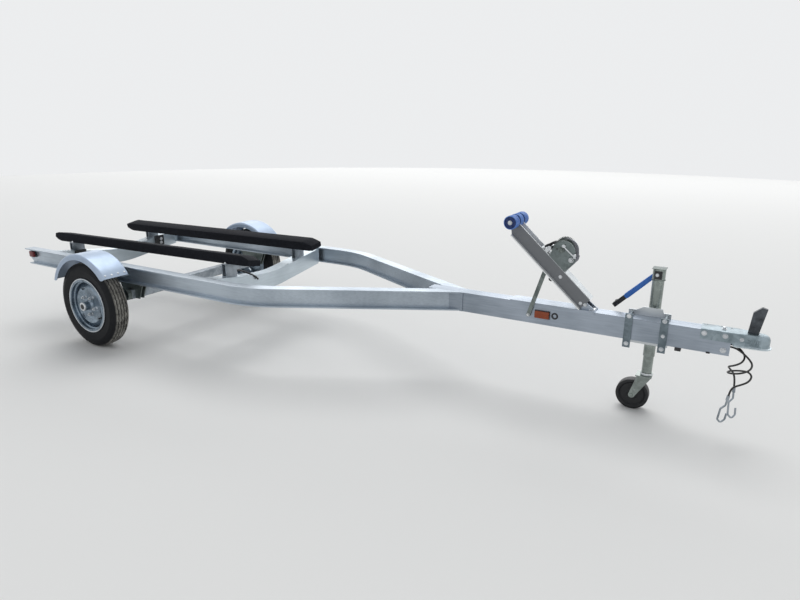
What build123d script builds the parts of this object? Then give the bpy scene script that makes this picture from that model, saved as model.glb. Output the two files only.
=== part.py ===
# Single watercraft trailer: curved side rails, box tongue, torsion axle, bunks, winch stand and jack.
# The frame is level. X points forward to the coupler, Y to the left, Z up from the ground, in millimetres.
import os
from math import atan, cos, degrees, radians, sin, sqrt, tan

from build123d import *

os.makedirs("parts", exist_ok=True)

# Overall layout, the lengths measured from the wheel axle
REAR_OVERHANG = 907.0
TONGUE_REACH = 3400.0
COUPLER_PAST = 150.0
AXLE_X = (REAR_OVERHANG - TONGUE_REACH - COUPLER_PAST) / 2
REAR_X = AXLE_X - REAR_OVERHANG
TONGUE_FRONT = AXLE_X + TONGUE_REACH
NOSE_X = TONGUE_FRONT + COUPLER_PAST
FRAME_TOP = 489.0
FRAME_H = 101.6
FRAME_BOT = FRAME_TOP - FRAME_H

# Clearances: radial for a pin or shaft that turns, and side gaps beside moving pieces
FIT = 0.05
SIDE_GAP = 6.0

# Side rails, an I section bent in plan
RAIL_W = 63.5
RAIL_HALF = 565.0
RAIL_FLANGE = 7.0
RAIL_WEB = 5.0
BEND_X = AXLE_X + 986.0
BEND_R = 623.0
BEND_DEG = 27.65
REAR_CUT = 42.0

# Tongue, a box section
TONGUE_HALF = 38.1
TONGUE_WALL = 5.0
TONGUE_LAP = 50.0
SPLICE_T = 4.0
SPLICE_W = 16.0

# Crossmembers, bent down in the middle
FRONT_CROSS_X = AXLE_X + 810.0
REAR_CROSS_X = AXLE_X - 650.0
CROSS_SLOPE = 0.138
CROSS_R = 900.0
CROSS_DROP = 78.5
CROSS_T = 5.0
CROSS_D = 80.0
CROSS_PLATE = 6.0
FRONT_PLATE_L = 190.0
REAR_PLATE_L = 110.0

# Torsion axle and its arms
TUBE_AHEAD = 170.0
TUBE_DROP = 70.0
TUBE_S = 60.0
HANGER_T = 6.0
HANGER_TOP = 212.0
HANGER_LOW = 132.0
HANGER_PLATES = (27.0, 55.0)
ARM_T = 27.0
ARM_HEAD_R = 34.0
ARM_END_R = 27.0
SPINDLE_R = 16.0

# Wheels
TYRE_R = 262.0
TYRE_HALF = 58.0
TREAD_HALF = 39.0
SHOULDER_DROP = 23.0
RIM_R = 152.4
RIM_LIP_R = 168.0
RIM_HALF = 57.0
RIM_T = 4.0
WHEEL_OUT = 119.0
HUB_R = 34.0
CAP_R = 26.0
HUB_OUT = 84.0
SLOT_PCR = 104.0
SLOT_L = 34.0
SLOT_W = 13.0
SLOTS = 3
SLOT_FROM = 110.0

# Fenders
FENDER_GAP = 24.0
FENDER_UP = 33.0
FENDER_INSET = 25.0
FENDER_W = 173.0
FENDER_T = 3.0
FENDER_LIP = 34.0
FENDER_ROUND = 14.0
FENDER_CORNER = 24.0
FENDER_FRONT_DEG = 35.0
FENDER_REAR_DEG = 159.0
FENDER_MOUNTS = (-150.0, 130.0)

# Bunks
BUNK_W = 99.0
BUNK_T = 59.0
BUNK_IN = 237.0
BUNK_TILT = 10.4
BUNK_SLOPE = 0.0155
BUNK_UP = 76.0
BUNK_REAR = AXLE_X - 900.0
BUNK_FRONT = AXLE_X + 958.0
BUNK_BEVEL = 45.0
BUNK_NOSE = 37.0
BUNK_TOP_BEVEL = 56.0
BUNK_TOP_DROP = 22.0
BUNK_UNDERCUT = 8.0
BUNK_ROUND = 9.0
BRACKET_L = 33.0
BRACKET_W = 87.0
BRACKET_SHIFT = 27.0
BRACKET_T = 5.0

# Winch stand
POST_AHEAD = 2405.0
POST_UP = 325.0
POST_ANG = 42.1
POST_LEN = 470.0
POST_HALF = 31.75
POST_D = 66.0
POST_WALL = 5.0
POST_FLANGE = 52.0
COVER_T = 3.0
COVER_FROM = 141.0
SADDLE_T = 5.0
SADDLE_LIP = 14.0
SADDLE_FROM = AXLE_X + 2420.0
SADDLE_TO = AXLE_X + 2830.0
STRUT_T = 5.0
STRUT_R = 10.0
STRUT_FOOT = (AXLE_X + 2518.0, FRAME_BOT + 42.0)
STRUT_MEETS = 236.0

# Bow roller
ROLLER_AT = (-38.4, 56.0)
ROLLER_R = 33.0
ROLLER_END = 90.0
SHAFT_R = 8.0
EAR_R = 15.0

# Winch, its places given along the post and out from the post's rear face
WINCH_FROM = 196.0
WINCH_TO = 302.0
WINCH_OUT = 116.0
WINCH_ROUND = 54.0
WINCH_ROUND_AT = 230.0
WINCH_T = 4.0
DRUM_AT = (216.0, 131.0)
DRUM_R = 30.0
DRUM_FLANGE_R = 44.0
GEAR_R = 52.0
GEAR_T = 6.0
PINION_R = 12.0
GEAR_MESH = 1.0
CRANK_L = 170.0

# Coupler
COUPLER_LAP = 120.0
COUPLER_T = 4.0
BALL_BACK = 44.0
BALL_DROP = 32.0
BALL_R = 25.9
COUPLER_LIP = 8.0
COUPLER_LOW = 54.0
COUPLER_SIDE = 42.0
LATCH_HALF = 9.0

# Jack
JACK_X = TONGUE_FRONT - 327.0
JACK_OUT = 92.0
JACK_R = 26.0
JACK_WALL = 3.0
JACK_UP = 212.0
JACK_DOWN = 107.0
JACK_HEAD_R = 28.0
JACK_HEAD_H = 50.0
PIVOT_DROP = 24.0
PIVOT_R = 16.0
PIVOT_DISC = 28.0
LEG_TOP = FRAME_TOP - 4.0
LEG_ROOM = 100.0
CASTER_R = 76.0
CASTER_W = 48.0
CASTER_ROUND = 8.0
CASTER_PIN_R = 8.0
TRAIL = 52.0
CROWN_GAP = 24.0
CROWN_T = 6.0
FORK_T = 4.0
STRAPS = (-88.0, 62.0)
STRAP_W = 33.0
STRAP_PAST = 37.0
STRAP_UP = 22.0
CLAMP_T = 7.0
HUMP_UP = 40.0
HUMP_HALF = 40.0
PIVOT_STUB = 12.0
JCRANK_BACK = 183.0
JCRANK_DOWN = 188.0
JCRANK_GRIP = 60.0

# Lights
AMBER_X = AXLE_X + 2548.0
AMBER_L = 76.0
AMBER_T = 16.0
AMBER_H = 40.0
AMBER_Z = FRAME_BOT + 32.0
TAIL_X = REAR_X + 42.0
TAIL_BASE = 62.0
TAIL_H = 46.0
TAIL_Z = FRAME_BOT + 42.0
TAIL_PAST = 18.0

made = {}


def save(name, solid):
    solid.label = name
    made[name] = solid
    export_step(solid, f"parts/{name}.step")


def save_pair(name, right):
    save(name + "_right", right)
    save(name + "_left", right.mirror(Plane.XZ))


def box(x0, x1, y0, y1, z0, z1):
    solid = Box(x1 - x0, abs(y1 - y0), z1 - z0, mode=Mode.PRIVATE)
    return Pos((x0 + x1) / 2, (y0 + y1) / 2, (z0 + z1) / 2) * solid


def rod_y(x, z, r, y0, y1):
    solid = Cylinder(r, y1 - y0, mode=Mode.PRIVATE)
    return Pos(x, (y0 + y1) / 2, z) * Rot(90, 0, 0) * solid


def rod_z(x, y, r, z0, z1):
    solid = Cylinder(r, z1 - z0, mode=Mode.PRIVATE)
    return Pos(x, y, (z0 + z1) / 2) * solid


def side_shape(y, points):
    # a straight-sided outline in X and Z, drawn on the upright plane at y
    with BuildSketch(Plane.XZ.offset(-y)) as shape:
        with BuildLine():
            Polyline(*points, close=True)
        make_face()
    return shape.sketch


def bar_shape(y, start, start_r, end, end_r):
    # a bar with round ends in X and Z, drawn on the upright plane at y
    with BuildSketch(Plane.XZ.offset(-y)) as shape:
        with Locations(start):
            Circle(start_r)
        with Locations(end):
            Circle(end_r)
        make_hull()
    return shape.sketch


# Side rails
bend = radians(BEND_DEG)
rail_cy = BEND_R - RAIL_HALF
RAIL_PAST = 60.0


def rail_edge(d):
    # the rail's edge at a distance d in from its outer edge
    r = BEND_R - d
    start = (REAR_X, -RAIL_HALF + d)
    bend_start = (BEND_X, -RAIL_HALF + d)
    bend_mid = (BEND_X + r * sin(bend / 2), rail_cy - r * cos(bend / 2))
    bend_end = (BEND_X + r * sin(bend), rail_cy - r * cos(bend))
    run = (RAIL_PAST - bend_end[1]) / tan(bend)
    return start, bend_start, bend_mid, bend_end, (bend_end[0] + run, RAIL_PAST)


def rail_band(z, d0, d1):
    o = rail_edge(d0)
    i = rail_edge(d1)
    with BuildSketch(Plane.XY.offset(z)) as band:
        with BuildLine():
            Line(o[0], o[1])
            ThreePointArc(o[1], o[2], o[3])
            Line(o[3], o[4])
            Line(o[4], i[4])
            Line(i[4], i[3])
            ThreePointArc(i[3], i[2], i[1])
            Line(i[1], i[0])
            Line(i[0], o[0])
        make_face()
    return band.sketch


outer_end = rail_edge(0)[3]
MITRE_X = outer_end[0] + (-TONGUE_HALF - outer_end[1]) / tan(bend)
TONGUE_REAR = MITRE_X - RAIL_W / sin(bend) - TONGUE_LAP
web_in = (RAIL_W - RAIL_WEB) / 2
with BuildPart() as rail:
    extrude(rail_band(FRAME_TOP - RAIL_FLANGE, 0, RAIL_W), amount=RAIL_FLANGE)
    extrude(rail_band(FRAME_BOT, 0, RAIL_W), amount=RAIL_FLANGE)
    extrude(rail_band(FRAME_BOT, web_in, web_in + RAIL_WEB), amount=FRAME_H)
    # the mitre against the tongue
    past = (TONGUE_REAR, MITRE_X + 4 * RAIL_W, -TONGUE_HALF, RAIL_W + RAIL_PAST)
    add(box(*past, FRAME_BOT - 1, FRAME_TOP + 1), mode=Mode.SUBTRACT)
    # the lower rear corner is cut back
    low_corner = [(REAR_X, FRAME_BOT), (REAR_X + REAR_CUT, FRAME_BOT), (REAR_X, FRAME_BOT + REAR_CUT)]
    extrude(side_shape(-RAIL_HALF, low_corner), amount=-RAIL_W, mode=Mode.SUBTRACT)
save_pair("side_rail", rail.part)

# Tongue beam, with the straps that close the rail ends
with BuildPart() as tongue:
    add(box(TONGUE_REAR, TONGUE_FRONT, -TONGUE_HALF, TONGUE_HALF, FRAME_BOT, FRAME_TOP))
    inner = TONGUE_HALF - TONGUE_WALL
    hollow = (TONGUE_REAR + TONGUE_WALL, TONGUE_FRONT, -inner, inner)
    add(box(*hollow, FRAME_BOT + TONGUE_WALL, FRAME_TOP - TONGUE_WALL), mode=Mode.SUBTRACT)
    for s in (-1, 1):
        face = s * TONGUE_HALF
        add(box(MITRE_X + 1, MITRE_X + 1 + SPLICE_W, face, face + s * SPLICE_T, FRAME_BOT, FRAME_TOP))
save("tongue_beam", tongue.part)

# Crossmembers
cross_a = atan(CROSS_SLOPE)
CROSS_LOW = FRAME_TOP - CROSS_DROP
CROSS_END = RAIL_HALF - RAIL_W - CROSS_PLATE


def cross_z(y):
    # height of a crossmember's top at a distance y from the middle
    if abs(y) < CROSS_R * sin(cross_a):
        return CROSS_LOW + CROSS_R / cos(cross_a) - sqrt(CROSS_R**2 - y**2)
    return CROSS_LOW + CROSS_SLOPE * abs(y)


def cross_strip(x, top, bottom):
    k = CROSS_R * sin(cross_a)
    upper = [(y, cross_z(y) - top) for y in (-CROSS_END, -k, 0, k, CROSS_END)]
    lower = [(y, cross_z(y) - bottom) for y in (CROSS_END, k, 0, -k, -CROSS_END)]
    with BuildSketch(Plane.YZ.offset(x)) as strip:
        with BuildLine():
            Line(upper[0], upper[1])
            ThreePointArc(upper[1], upper[2], upper[3])
            Line(upper[3], upper[4])
            Line(upper[4], lower[0])
            Line(lower[0], lower[1])
            ThreePointArc(lower[1], lower[2], lower[3])
            Line(lower[3], lower[4])
            Line(lower[4], upper[0])
        make_face()
    return strip.sketch


# name, X of the front face, how long the end plates are and how far they pass the face
crossmembers = [
    dict(name="front_crossmember", face=FRONT_CROSS_X, plate=FRONT_PLATE_L, past=2.0),
    dict(name="rear_crossmember", face=REAR_CROSS_X, plate=REAR_PLATE_L, past=10.0),
]
for c in crossmembers:
    with BuildPart() as cross:
        extrude(cross_strip(c["face"], 0, FRAME_H), amount=-CROSS_T)
        extrude(cross_strip(c["face"], 0, CROSS_T), amount=-CROSS_D)
        extrude(cross_strip(c["face"], FRAME_H - CROSS_T, FRAME_H), amount=-CROSS_D)
        for s in (-1, 1):
            y0 = s * CROSS_END
            plate = (c["face"] - c["plate"], c["face"] + c["past"], y0, y0 + s * CROSS_PLATE)
            add(box(*plate, FRAME_BOT, FRAME_TOP - 2))
    save(c["name"], cross.part)

# A clip plate on the front face of the rear crossmember at each side
CLIP_IN = RAIL_HALF - 273.0
CLIP_W = 78.0
CLIP_T = 12.0
with BuildPart() as clip:
    clip_top = cross_z(CLIP_IN) + 14
    add(box(REAR_CROSS_X, REAR_CROSS_X + CLIP_T, -CLIP_IN - CLIP_W, -CLIP_IN, clip_top - 78, clip_top))
save_pair("crossmember_clip", clip.part)

# Torsion axle tube, its hangers under the rails, and the trailing arms with their spindles
TUBE_X = AXLE_X + TUBE_AHEAD
TUBE_Z = FRAME_BOT - TUBE_DROP
tube_h = TUBE_S / 2
TUBE_END = RAIL_HALF + 1
with BuildPart() as axle:
    add(box(TUBE_X - tube_h, TUBE_X + tube_h, -TUBE_END, TUBE_END, TUBE_Z - tube_h, TUBE_Z + tube_h))
    fillet(axle.edges().filter_by(Axis.Y), 8)
save("axle_tube", axle.part)

with BuildPart() as hanger:
    top_from = TUBE_X - HANGER_TOP / 2
    top_to = TUBE_X + HANGER_TOP / 2
    add(box(top_from - 4, top_to + 4, -RAIL_HALF, -RAIL_HALF + RAIL_W, FRAME_BOT - HANGER_T, FRAME_BOT))
    hanger_side = [
        (top_from, FRAME_BOT - HANGER_T + 1),
        (top_to, FRAME_BOT - HANGER_T + 1),
        (TUBE_X + HANGER_LOW / 2, TUBE_Z - tube_h + 4),
        (TUBE_X - HANGER_LOW / 2, TUBE_Z - tube_h + 4),
    ]
    for inset in HANGER_PLATES:
        extrude(side_shape(-RAIL_HALF + inset, hanger_side), amount=HANGER_T)
    tube_hole = (TUBE_X - tube_h, TUBE_X + tube_h, -RAIL_HALF, -RAIL_HALF + 2 * RAIL_W)
    add(box(*tube_hole, TUBE_Z - tube_h, TUBE_Z + tube_h), mode=Mode.SUBTRACT)
save_pair("axle_hanger", hanger.part)

WHEEL_Y = RAIL_HALF + WHEEL_OUT
ARM_IN = TUBE_END + 1
ARM_OUT = ARM_IN + ARM_T
SPINDLE_END = WHEEL_Y + HUB_OUT - 24
with BuildPart() as arm:
    extrude(bar_shape(-ARM_IN, (TUBE_X, TUBE_Z), ARM_HEAD_R, (AXLE_X, TYRE_R), ARM_END_R), amount=ARM_T)
    add(rod_y(AXLE_X, TYRE_R, SPINDLE_R, -SPINDLE_END, -ARM_OUT))
save_pair("axle_arm", arm.part)

# Wheels: the sections hold the radius across and the width up, outboard is minus
wheel_plane = Plane(origin=(AXLE_X, -WHEEL_Y, TYRE_R), x_dir=(1, 0, 0), z_dir=(0, 0, 1))
wheel_axis = Axis((AXLE_X, -WHEEL_Y, TYRE_R), (0, 1, 0))
bead = RIM_HALF - RIM_T - 3
side_r = (RIM_R + TYRE_R) / 2
shoulder_r = TYRE_R - SHOULDER_DROP
shoulder_y = TREAD_HALF + 12
with BuildPart() as tyre:
    with BuildSketch(wheel_plane):
        with BuildLine():
            Line((RIM_R, -bead), (RIM_R, bead))
            Line((RIM_R, bead), (RIM_R + 17, bead + 2))
            ThreePointArc((RIM_R + 17, bead + 2), (side_r, TYRE_HALF), (shoulder_r, shoulder_y))
            ThreePointArc((shoulder_r, shoulder_y), (TYRE_R - 11, shoulder_y - 4), (TYRE_R - 3, TREAD_HALF))
            ThreePointArc((TYRE_R - 3, TREAD_HALF), (TYRE_R, 0), (TYRE_R - 3, -TREAD_HALF))
            ThreePointArc((TYRE_R - 3, -TREAD_HALF), (TYRE_R - 11, 4 - shoulder_y), (shoulder_r, -shoulder_y))
            ThreePointArc((shoulder_r, -shoulder_y), (side_r, -TYRE_HALF), (RIM_R + 17, -bead - 2))
            Line((RIM_R + 17, -bead - 2), (RIM_R, -bead))
        make_face()
    revolve(axis=wheel_axis)
save_pair("tyre", tyre.part)

seat = RIM_HALF - RIM_T
rim_in = RIM_R - 3
with BuildPart() as rim:
    with BuildSketch(wheel_plane):
        with BuildLine():
            Polyline(
                (RIM_LIP_R, -RIM_HALF),
                (RIM_LIP_R, -seat),
                (RIM_R + 2, -seat),
                (RIM_R, -bead),
                (RIM_R, bead),
                (RIM_R + 2, seat),
                (RIM_LIP_R, seat),
                (RIM_LIP_R, RIM_HALF),
                (rim_in, RIM_HALF),
                (rim_in, 30),
                (rim_in - 13, 20),
                (rim_in - 13, -10),
                (110, -34),
                (72, -26),
                (HUB_R, -26),
                (HUB_R, 40),
                (SPINDLE_R + FIT, 40),
                (SPINDLE_R + FIT, -HUB_OUT + 22),
                (0, -HUB_OUT + 22),
                (0, -HUB_OUT),
                (CAP_R - 3, -HUB_OUT),
                (CAP_R, -HUB_OUT + 5),
                (CAP_R, -46),
                (HUB_R, -34),
                (70, -32),
                (112, -42),
                (rim_in - 8, -16),
                (rim_in - 8, -36),
                (rim_in, -40),
                (rim_in, -RIM_HALF),
                close=True,
            )
        make_face()
    revolve(axis=wheel_axis)
    # the slots through the disc
    with BuildSketch(Plane(origin=(AXLE_X, -WHEEL_Y - RIM_HALF, TYRE_R), x_dir=(1, 0, 0), z_dir=(0, -1, 0))):
        with PolarLocations(SLOT_PCR, SLOTS, start_angle=SLOT_FROM):
            SlotOverall(SLOT_L, SLOT_W, rotation=90)
    extrude(amount=-RIM_HALF - 10, mode=Mode.SUBTRACT)
save_pair("wheel_rim", rim.part)

# Fenders, a rounded channel bent round the wheel
FENDER_IN = RAIL_HALF + FENDER_INSET
FENDER_R = TYRE_R + FENDER_GAP
FENDER_Z = TYRE_R + FENDER_UP
fender_a = radians(FENDER_FRONT_DEG)
fender_out = (cos(fender_a), 0, sin(fender_a))
fender_start = Plane(origin=(AXLE_X, 0, FENDER_Z), x_dir=fender_out, z_dir=(sin(fender_a), 0, -cos(fender_a)))
fender_axis = Axis((AXLE_X, 0, FENDER_Z), (0, -1, 0))
fender_sweep = FENDER_REAR_DEG - FENDER_FRONT_DEG
# inset from the outer faces, how far the section reaches in, corner radius, mode
fender_sections = [
    dict(inset=0.0, reach=FENDER_LIP, corner=FENDER_ROUND, mode=Mode.ADD),
    dict(inset=FENDER_T, reach=FENDER_LIP + 10, corner=FENDER_ROUND - FENDER_T, mode=Mode.SUBTRACT),
]
with BuildPart() as fender:
    for f in fender_sections:
        with BuildSketch(fender_start) as section:
            with Locations((FENDER_R - f["inset"] - f["reach"] / 2, FENDER_IN + FENDER_W / 2)):
                Rectangle(f["reach"], FENDER_W - 2 * f["inset"])
            fillet(section.vertices().group_by(Axis.X)[-1], f["corner"])
        revolve(axis=fender_axis, revolution_arc=fender_sweep, mode=f["mode"])
    lip_corners = fender.edges().filter_by(Axis.Y).filter_by(lambda e: e.length < 2 * FENDER_T)
    fillet(lip_corners, FENDER_CORNER)
save_pair("fender", fender.part)

# Fender brackets: an arm off the rail's web and an upright on the fender's inner side
ARM_UP = 40.0
with BuildPart() as fender_mount:
    for x in FENDER_MOUNTS:
        x0 = AXLE_X + x - 20
        x1 = AXLE_X + x + 20
        top = FENDER_Z + sqrt((FENDER_R - FENDER_ROUND) ** 2 - x**2) - 8
        add(box(x0, x1, -FENDER_IN, -RAIL_HALF + web_in, FRAME_BOT + ARM_UP, FRAME_BOT + ARM_UP + 6))
        add(box(x0, x1, -FENDER_IN, -FENDER_IN + 5, FRAME_BOT + ARM_UP, top))
save_pair("fender_mount", fender_mount.part)

# Bunks, the rear end bevelled underneath and the front end on top
BUNK_Z = FRAME_TOP + BUNK_UP
BUNK_LEN = BUNK_FRONT - BUNK_REAR
bunk_mid = (BUNK_REAR + BUNK_FRONT) / 2
bunk_side = [
    (-BUNK_LEN / 2, 0),
    (BUNK_LEN / 2 - BUNK_TOP_BEVEL, 0),
    (BUNK_LEN / 2, -BUNK_TOP_DROP),
    (BUNK_LEN / 2 - BUNK_UNDERCUT, -BUNK_T),
    (-BUNK_LEN / 2 + BUNK_BEVEL, -BUNK_T),
    (-BUNK_LEN / 2, -BUNK_NOSE),
]
bunk_z = BUNK_Z + BUNK_SLOPE * (bunk_mid - AXLE_X)
bunk_place = Pos(bunk_mid, BUNK_IN, bunk_z) * Rot(BUNK_TILT, -degrees(atan(BUNK_SLOPE)), 0)
with BuildPart() as bunk:
    extrude(side_shape(0, bunk_side), amount=-BUNK_W)
    fillet(bunk.edges().filter_by(Axis.X), BUNK_ROUND)
bunk_left = bunk_place * bunk.part
save("bunk_left", bunk_left)
save("bunk_right", bunk_left.mirror(Plane.XZ))


def bunk_under(x, y):
    # height of a bunk's underside, y measured outward from the middle
    tilt = radians(BUNK_TILT)
    return BUNK_Z + BUNK_SLOPE * (x - AXLE_X) + (y - BUNK_IN) * tan(tilt) - BUNK_T / cos(tilt)


# name, X of the front face; each is a short box tube on its crossmember, open at its two sides
bunk_brackets = [
    dict(name="bunk_bracket_front", front=FRONT_CROSS_X - 15),
    dict(name="bunk_bracket_rear", front=REAR_CROSS_X - 35),
]
bracket_in = BUNK_IN + BUNK_W / 2 - BRACKET_W / 2 + BRACKET_SHIFT
for b in bunk_brackets:
    start = b["front"] - BRACKET_L
    with BuildPart() as bracket:
        # the outside, then the hollow that runs out past both sides
        for wall, past, mode in ((0.0, 0.0, Mode.ADD), (BRACKET_T, 20.0, Mode.SUBTRACT)):
            y0 = bracket_in - past
            y1 = bracket_in + BRACKET_W + past
            with BuildSketch(Plane.YZ.offset(start + wall)):
                with BuildLine():
                    Polyline(
                        (-y0, cross_z(y0) + wall),
                        (-y1, cross_z(y1) + wall),
                        (-y1, bunk_under(start, y1) - 0.5 - wall),
                        (-y0, bunk_under(start, y0) - 0.5 - wall),
                        close=True,
                    )
                make_face()
            extrude(amount=BRACKET_L - 2 * wall, mode=mode)
    save_pair(b["name"], bracket.part)

# Winch stand: a channel open to the front with its rear plate wider than its walls
POST_TOP = (AXLE_X + POST_AHEAD, FRAME_TOP + POST_UP)
post_a = radians(POST_ANG)


def post_pt(along, out):
    # along: down the post from its top end; out: from its rear face toward the front
    x = POST_TOP[0] + along * cos(post_a) + out * sin(post_a)
    return (x, POST_TOP[1] - along * sin(post_a) + out * cos(post_a))


def post_rect(y, along0, along1, out0, out1):
    corners = [post_pt(along0, out0), post_pt(along1, out0), post_pt(along1, out1), post_pt(along0, out1)]
    return side_shape(y, corners)


ROLLER_C = post_pt(*ROLLER_AT)
SADDLE_TOP = FRAME_TOP + SADDLE_T
POST_END = (POST_TOP[1] - SADDLE_TOP) / sin(post_a)
ear_far = ROLLER_AT[0] - EAR_R
ear_side = [
    post_pt(0, 0),
    post_pt(POST_END, 0),
    post_pt(POST_END, POST_D),
    post_pt(0, POST_D),
    post_pt(ROLLER_AT[0], POST_D + 4),
    post_pt(ear_far, ROLLER_AT[1] + 6),
    post_pt(ear_far, ROLLER_AT[1] - 10),
]
with BuildPart() as post:
    extrude(post_rect(POST_FLANGE, 0, POST_END, 0, POST_WALL), amount=2 * POST_FLANGE)
    for y in (-POST_HALF + POST_WALL, POST_HALF):
        extrude(side_shape(y, ear_side), amount=POST_WALL)
    add(rod_y(*ROLLER_C, SHAFT_R + FIT, -POST_HALF - 1, POST_HALF + 1), mode=Mode.SUBTRACT)
save("winch_post", post.part)

with BuildPart() as cover:
    extrude(post_rect(POST_HALF, COVER_FROM, POST_END, POST_D, POST_D + COVER_T), amount=2 * POST_HALF)
save("post_cover", cover.part)

# The saddle over the tongue, with the two gussets that hold the post's foot
GUSSET_T = 5.0
foot = post_pt(POST_END, 0)
gusset_side = [
    (foot[0] + 8, SADDLE_TOP - 1),
    (foot[0] + 74, SADDLE_TOP - 1),
    post_pt(POST_END, POST_D - 22),
    post_pt(POST_END - 46, POST_D - 20),
    post_pt(POST_END - 30, POST_WALL + 6),
]
with BuildPart() as saddle:
    side = TONGUE_HALF + SADDLE_T
    add(box(SADDLE_FROM, SADDLE_TO, -side, side, FRAME_TOP - SADDLE_LIP, SADDLE_TOP))
    over = (SADDLE_FROM, SADDLE_TO, -TONGUE_HALF, TONGUE_HALF)
    add(box(*over, FRAME_TOP - SADDLE_LIP, FRAME_TOP), mode=Mode.SUBTRACT)
    for y in (-POST_HALF + POST_WALL + GUSSET_T, POST_HALF - POST_WALL):
        extrude(side_shape(y, gusset_side), amount=GUSSET_T)
save("winch_saddle", saddle.part)

# One strut, from the tongue's right side to the post's rear plate
STRUT_Y = TONGUE_HALF + SADDLE_T
strut_top = post_pt(STRUT_MEETS, 10)
with BuildPart() as strut:
    extrude(bar_shape(-STRUT_Y, STRUT_FOOT, STRUT_R, strut_top, STRUT_R), amount=STRUT_T)
    above = post_rect(-STRUT_Y, STRUT_MEETS - 60, STRUT_MEETS + 60, 0, 60)
    extrude(above, amount=STRUT_T, mode=Mode.SUBTRACT)
    add(rod_y(*STRUT_FOOT, 6, -STRUT_Y - STRUT_T - 5, -TONGUE_HALF))
save("post_strut", strut.part)

# Bow roller on its shaft
with BuildPart() as shaft:
    add(rod_y(*ROLLER_C, SHAFT_R, -ROLLER_END - 7, ROLLER_END + 7))
save("bow_roller_shaft", shaft.part)
roller_in = POST_HALF + SIDE_GAP
roller_mid = POST_HALF - POST_WALL - SIDE_GAP
# name, Y from and to
roller_pieces = [
    dict(name="bow_roller_right", y0=-ROLLER_END, y1=-roller_in),
    dict(name="bow_roller_centre", y0=-roller_mid, y1=roller_mid),
    dict(name="bow_roller_left", y0=roller_in, y1=ROLLER_END),
]
for q in roller_pieces:
    with BuildPart() as piece:
        add(rod_y(*ROLLER_C, ROLLER_R, q["y0"], q["y1"]))
        fillet(piece.edges(), 4)
        add(rod_y(*ROLLER_C, SHAFT_R, q["y0"], q["y1"]), mode=Mode.SUBTRACT)
    save(q["name"], piece.part)

# Winch: two side plates on a base, the strap drum with its gear, and the crank with its pinion
DRUM_C = post_pt(*DRUM_AT)
PINION_AT = (DRUM_AT[0] + GEAR_R + GEAR_MESH + PINION_R, DRUM_AT[1])
PINION_C = post_pt(*PINION_AT)
WINCH_BASE = POST_D + COVER_T
WINCH_TOP = WINCH_BASE + WINCH_OUT
WINCH_HALF = POST_HALF + WINCH_T
with BuildPart() as winch_frame:
    for y in (-WINCH_HALF + WINCH_T, WINCH_HALF):
        with BuildSketch(Plane.XZ.offset(-y)):
            with Locations(post_pt(WINCH_ROUND_AT, WINCH_TOP - WINCH_ROUND)):
                Circle(WINCH_ROUND)
            with Locations(PINION_C):
                Circle(20)
            for along in (WINCH_FROM + 4, WINCH_TO - 4):
                with Locations(post_pt(along, WINCH_BASE + 4)):
                    Circle(4)
            make_hull()
        extrude(amount=WINCH_T)
    base = post_rect(WINCH_HALF, WINCH_FROM + 4, WINCH_TO - 4, WINCH_BASE, WINCH_BASE + WINCH_T)
    extrude(base, amount=2 * WINCH_HALF)
    for centre in (DRUM_C, PINION_C):
        add(rod_y(*centre, SHAFT_R + FIT, -WINCH_HALF - 1, WINCH_HALF + 1), mode=Mode.SUBTRACT)
save("winch_frame", winch_frame.part)

drum_half = WINCH_HALF - WINCH_T - SIDE_GAP
GEAR_Y = WINCH_HALF + SIDE_GAP
with BuildPart() as drum:
    add(rod_y(*DRUM_C, SHAFT_R, -WINCH_HALF - 8, GEAR_Y + GEAR_T + 6))
    add(rod_y(*DRUM_C, DRUM_R, -drum_half, drum_half))
    for y in (-drum_half, drum_half - 2):
        add(rod_y(*DRUM_C, DRUM_FLANGE_R, y, y + 2))
    add(rod_y(*DRUM_C, GEAR_R, GEAR_Y, GEAR_Y + GEAR_T))
save("winch_drum", drum.part)

CRANK_Y = GEAR_Y + GEAR_T + 14
GRIP_L = 88.0
crank_end = post_pt(PINION_AT[0], PINION_AT[1] - CRANK_L)
with BuildPart() as crank:
    extrude(bar_shape(CRANK_Y, PINION_C, 14, crank_end, 12), amount=-6)
    add(rod_y(*PINION_C, SHAFT_R, -WINCH_HALF - 8, CRANK_Y + 8))
    add(rod_y(*PINION_C, PINION_R, GEAR_Y - 1, GEAR_Y + GEAR_T + 1))
    add(rod_y(*crank_end, 13, CRANK_Y + 3, CRANK_Y + 3 + GRIP_L))
save("winch_crank", crank.part)

# Coupler: a cap over the tongue's end that narrows to the ball housing, with a lip round its lower edge
BALL_X = NOSE_X - BALL_BACK
BALL_Z = FRAME_TOP - BALL_DROP
COUPLER_BOT = FRAME_TOP - COUPLER_LOW
coupler_half = TONGUE_HALF + COUPLER_T
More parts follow.
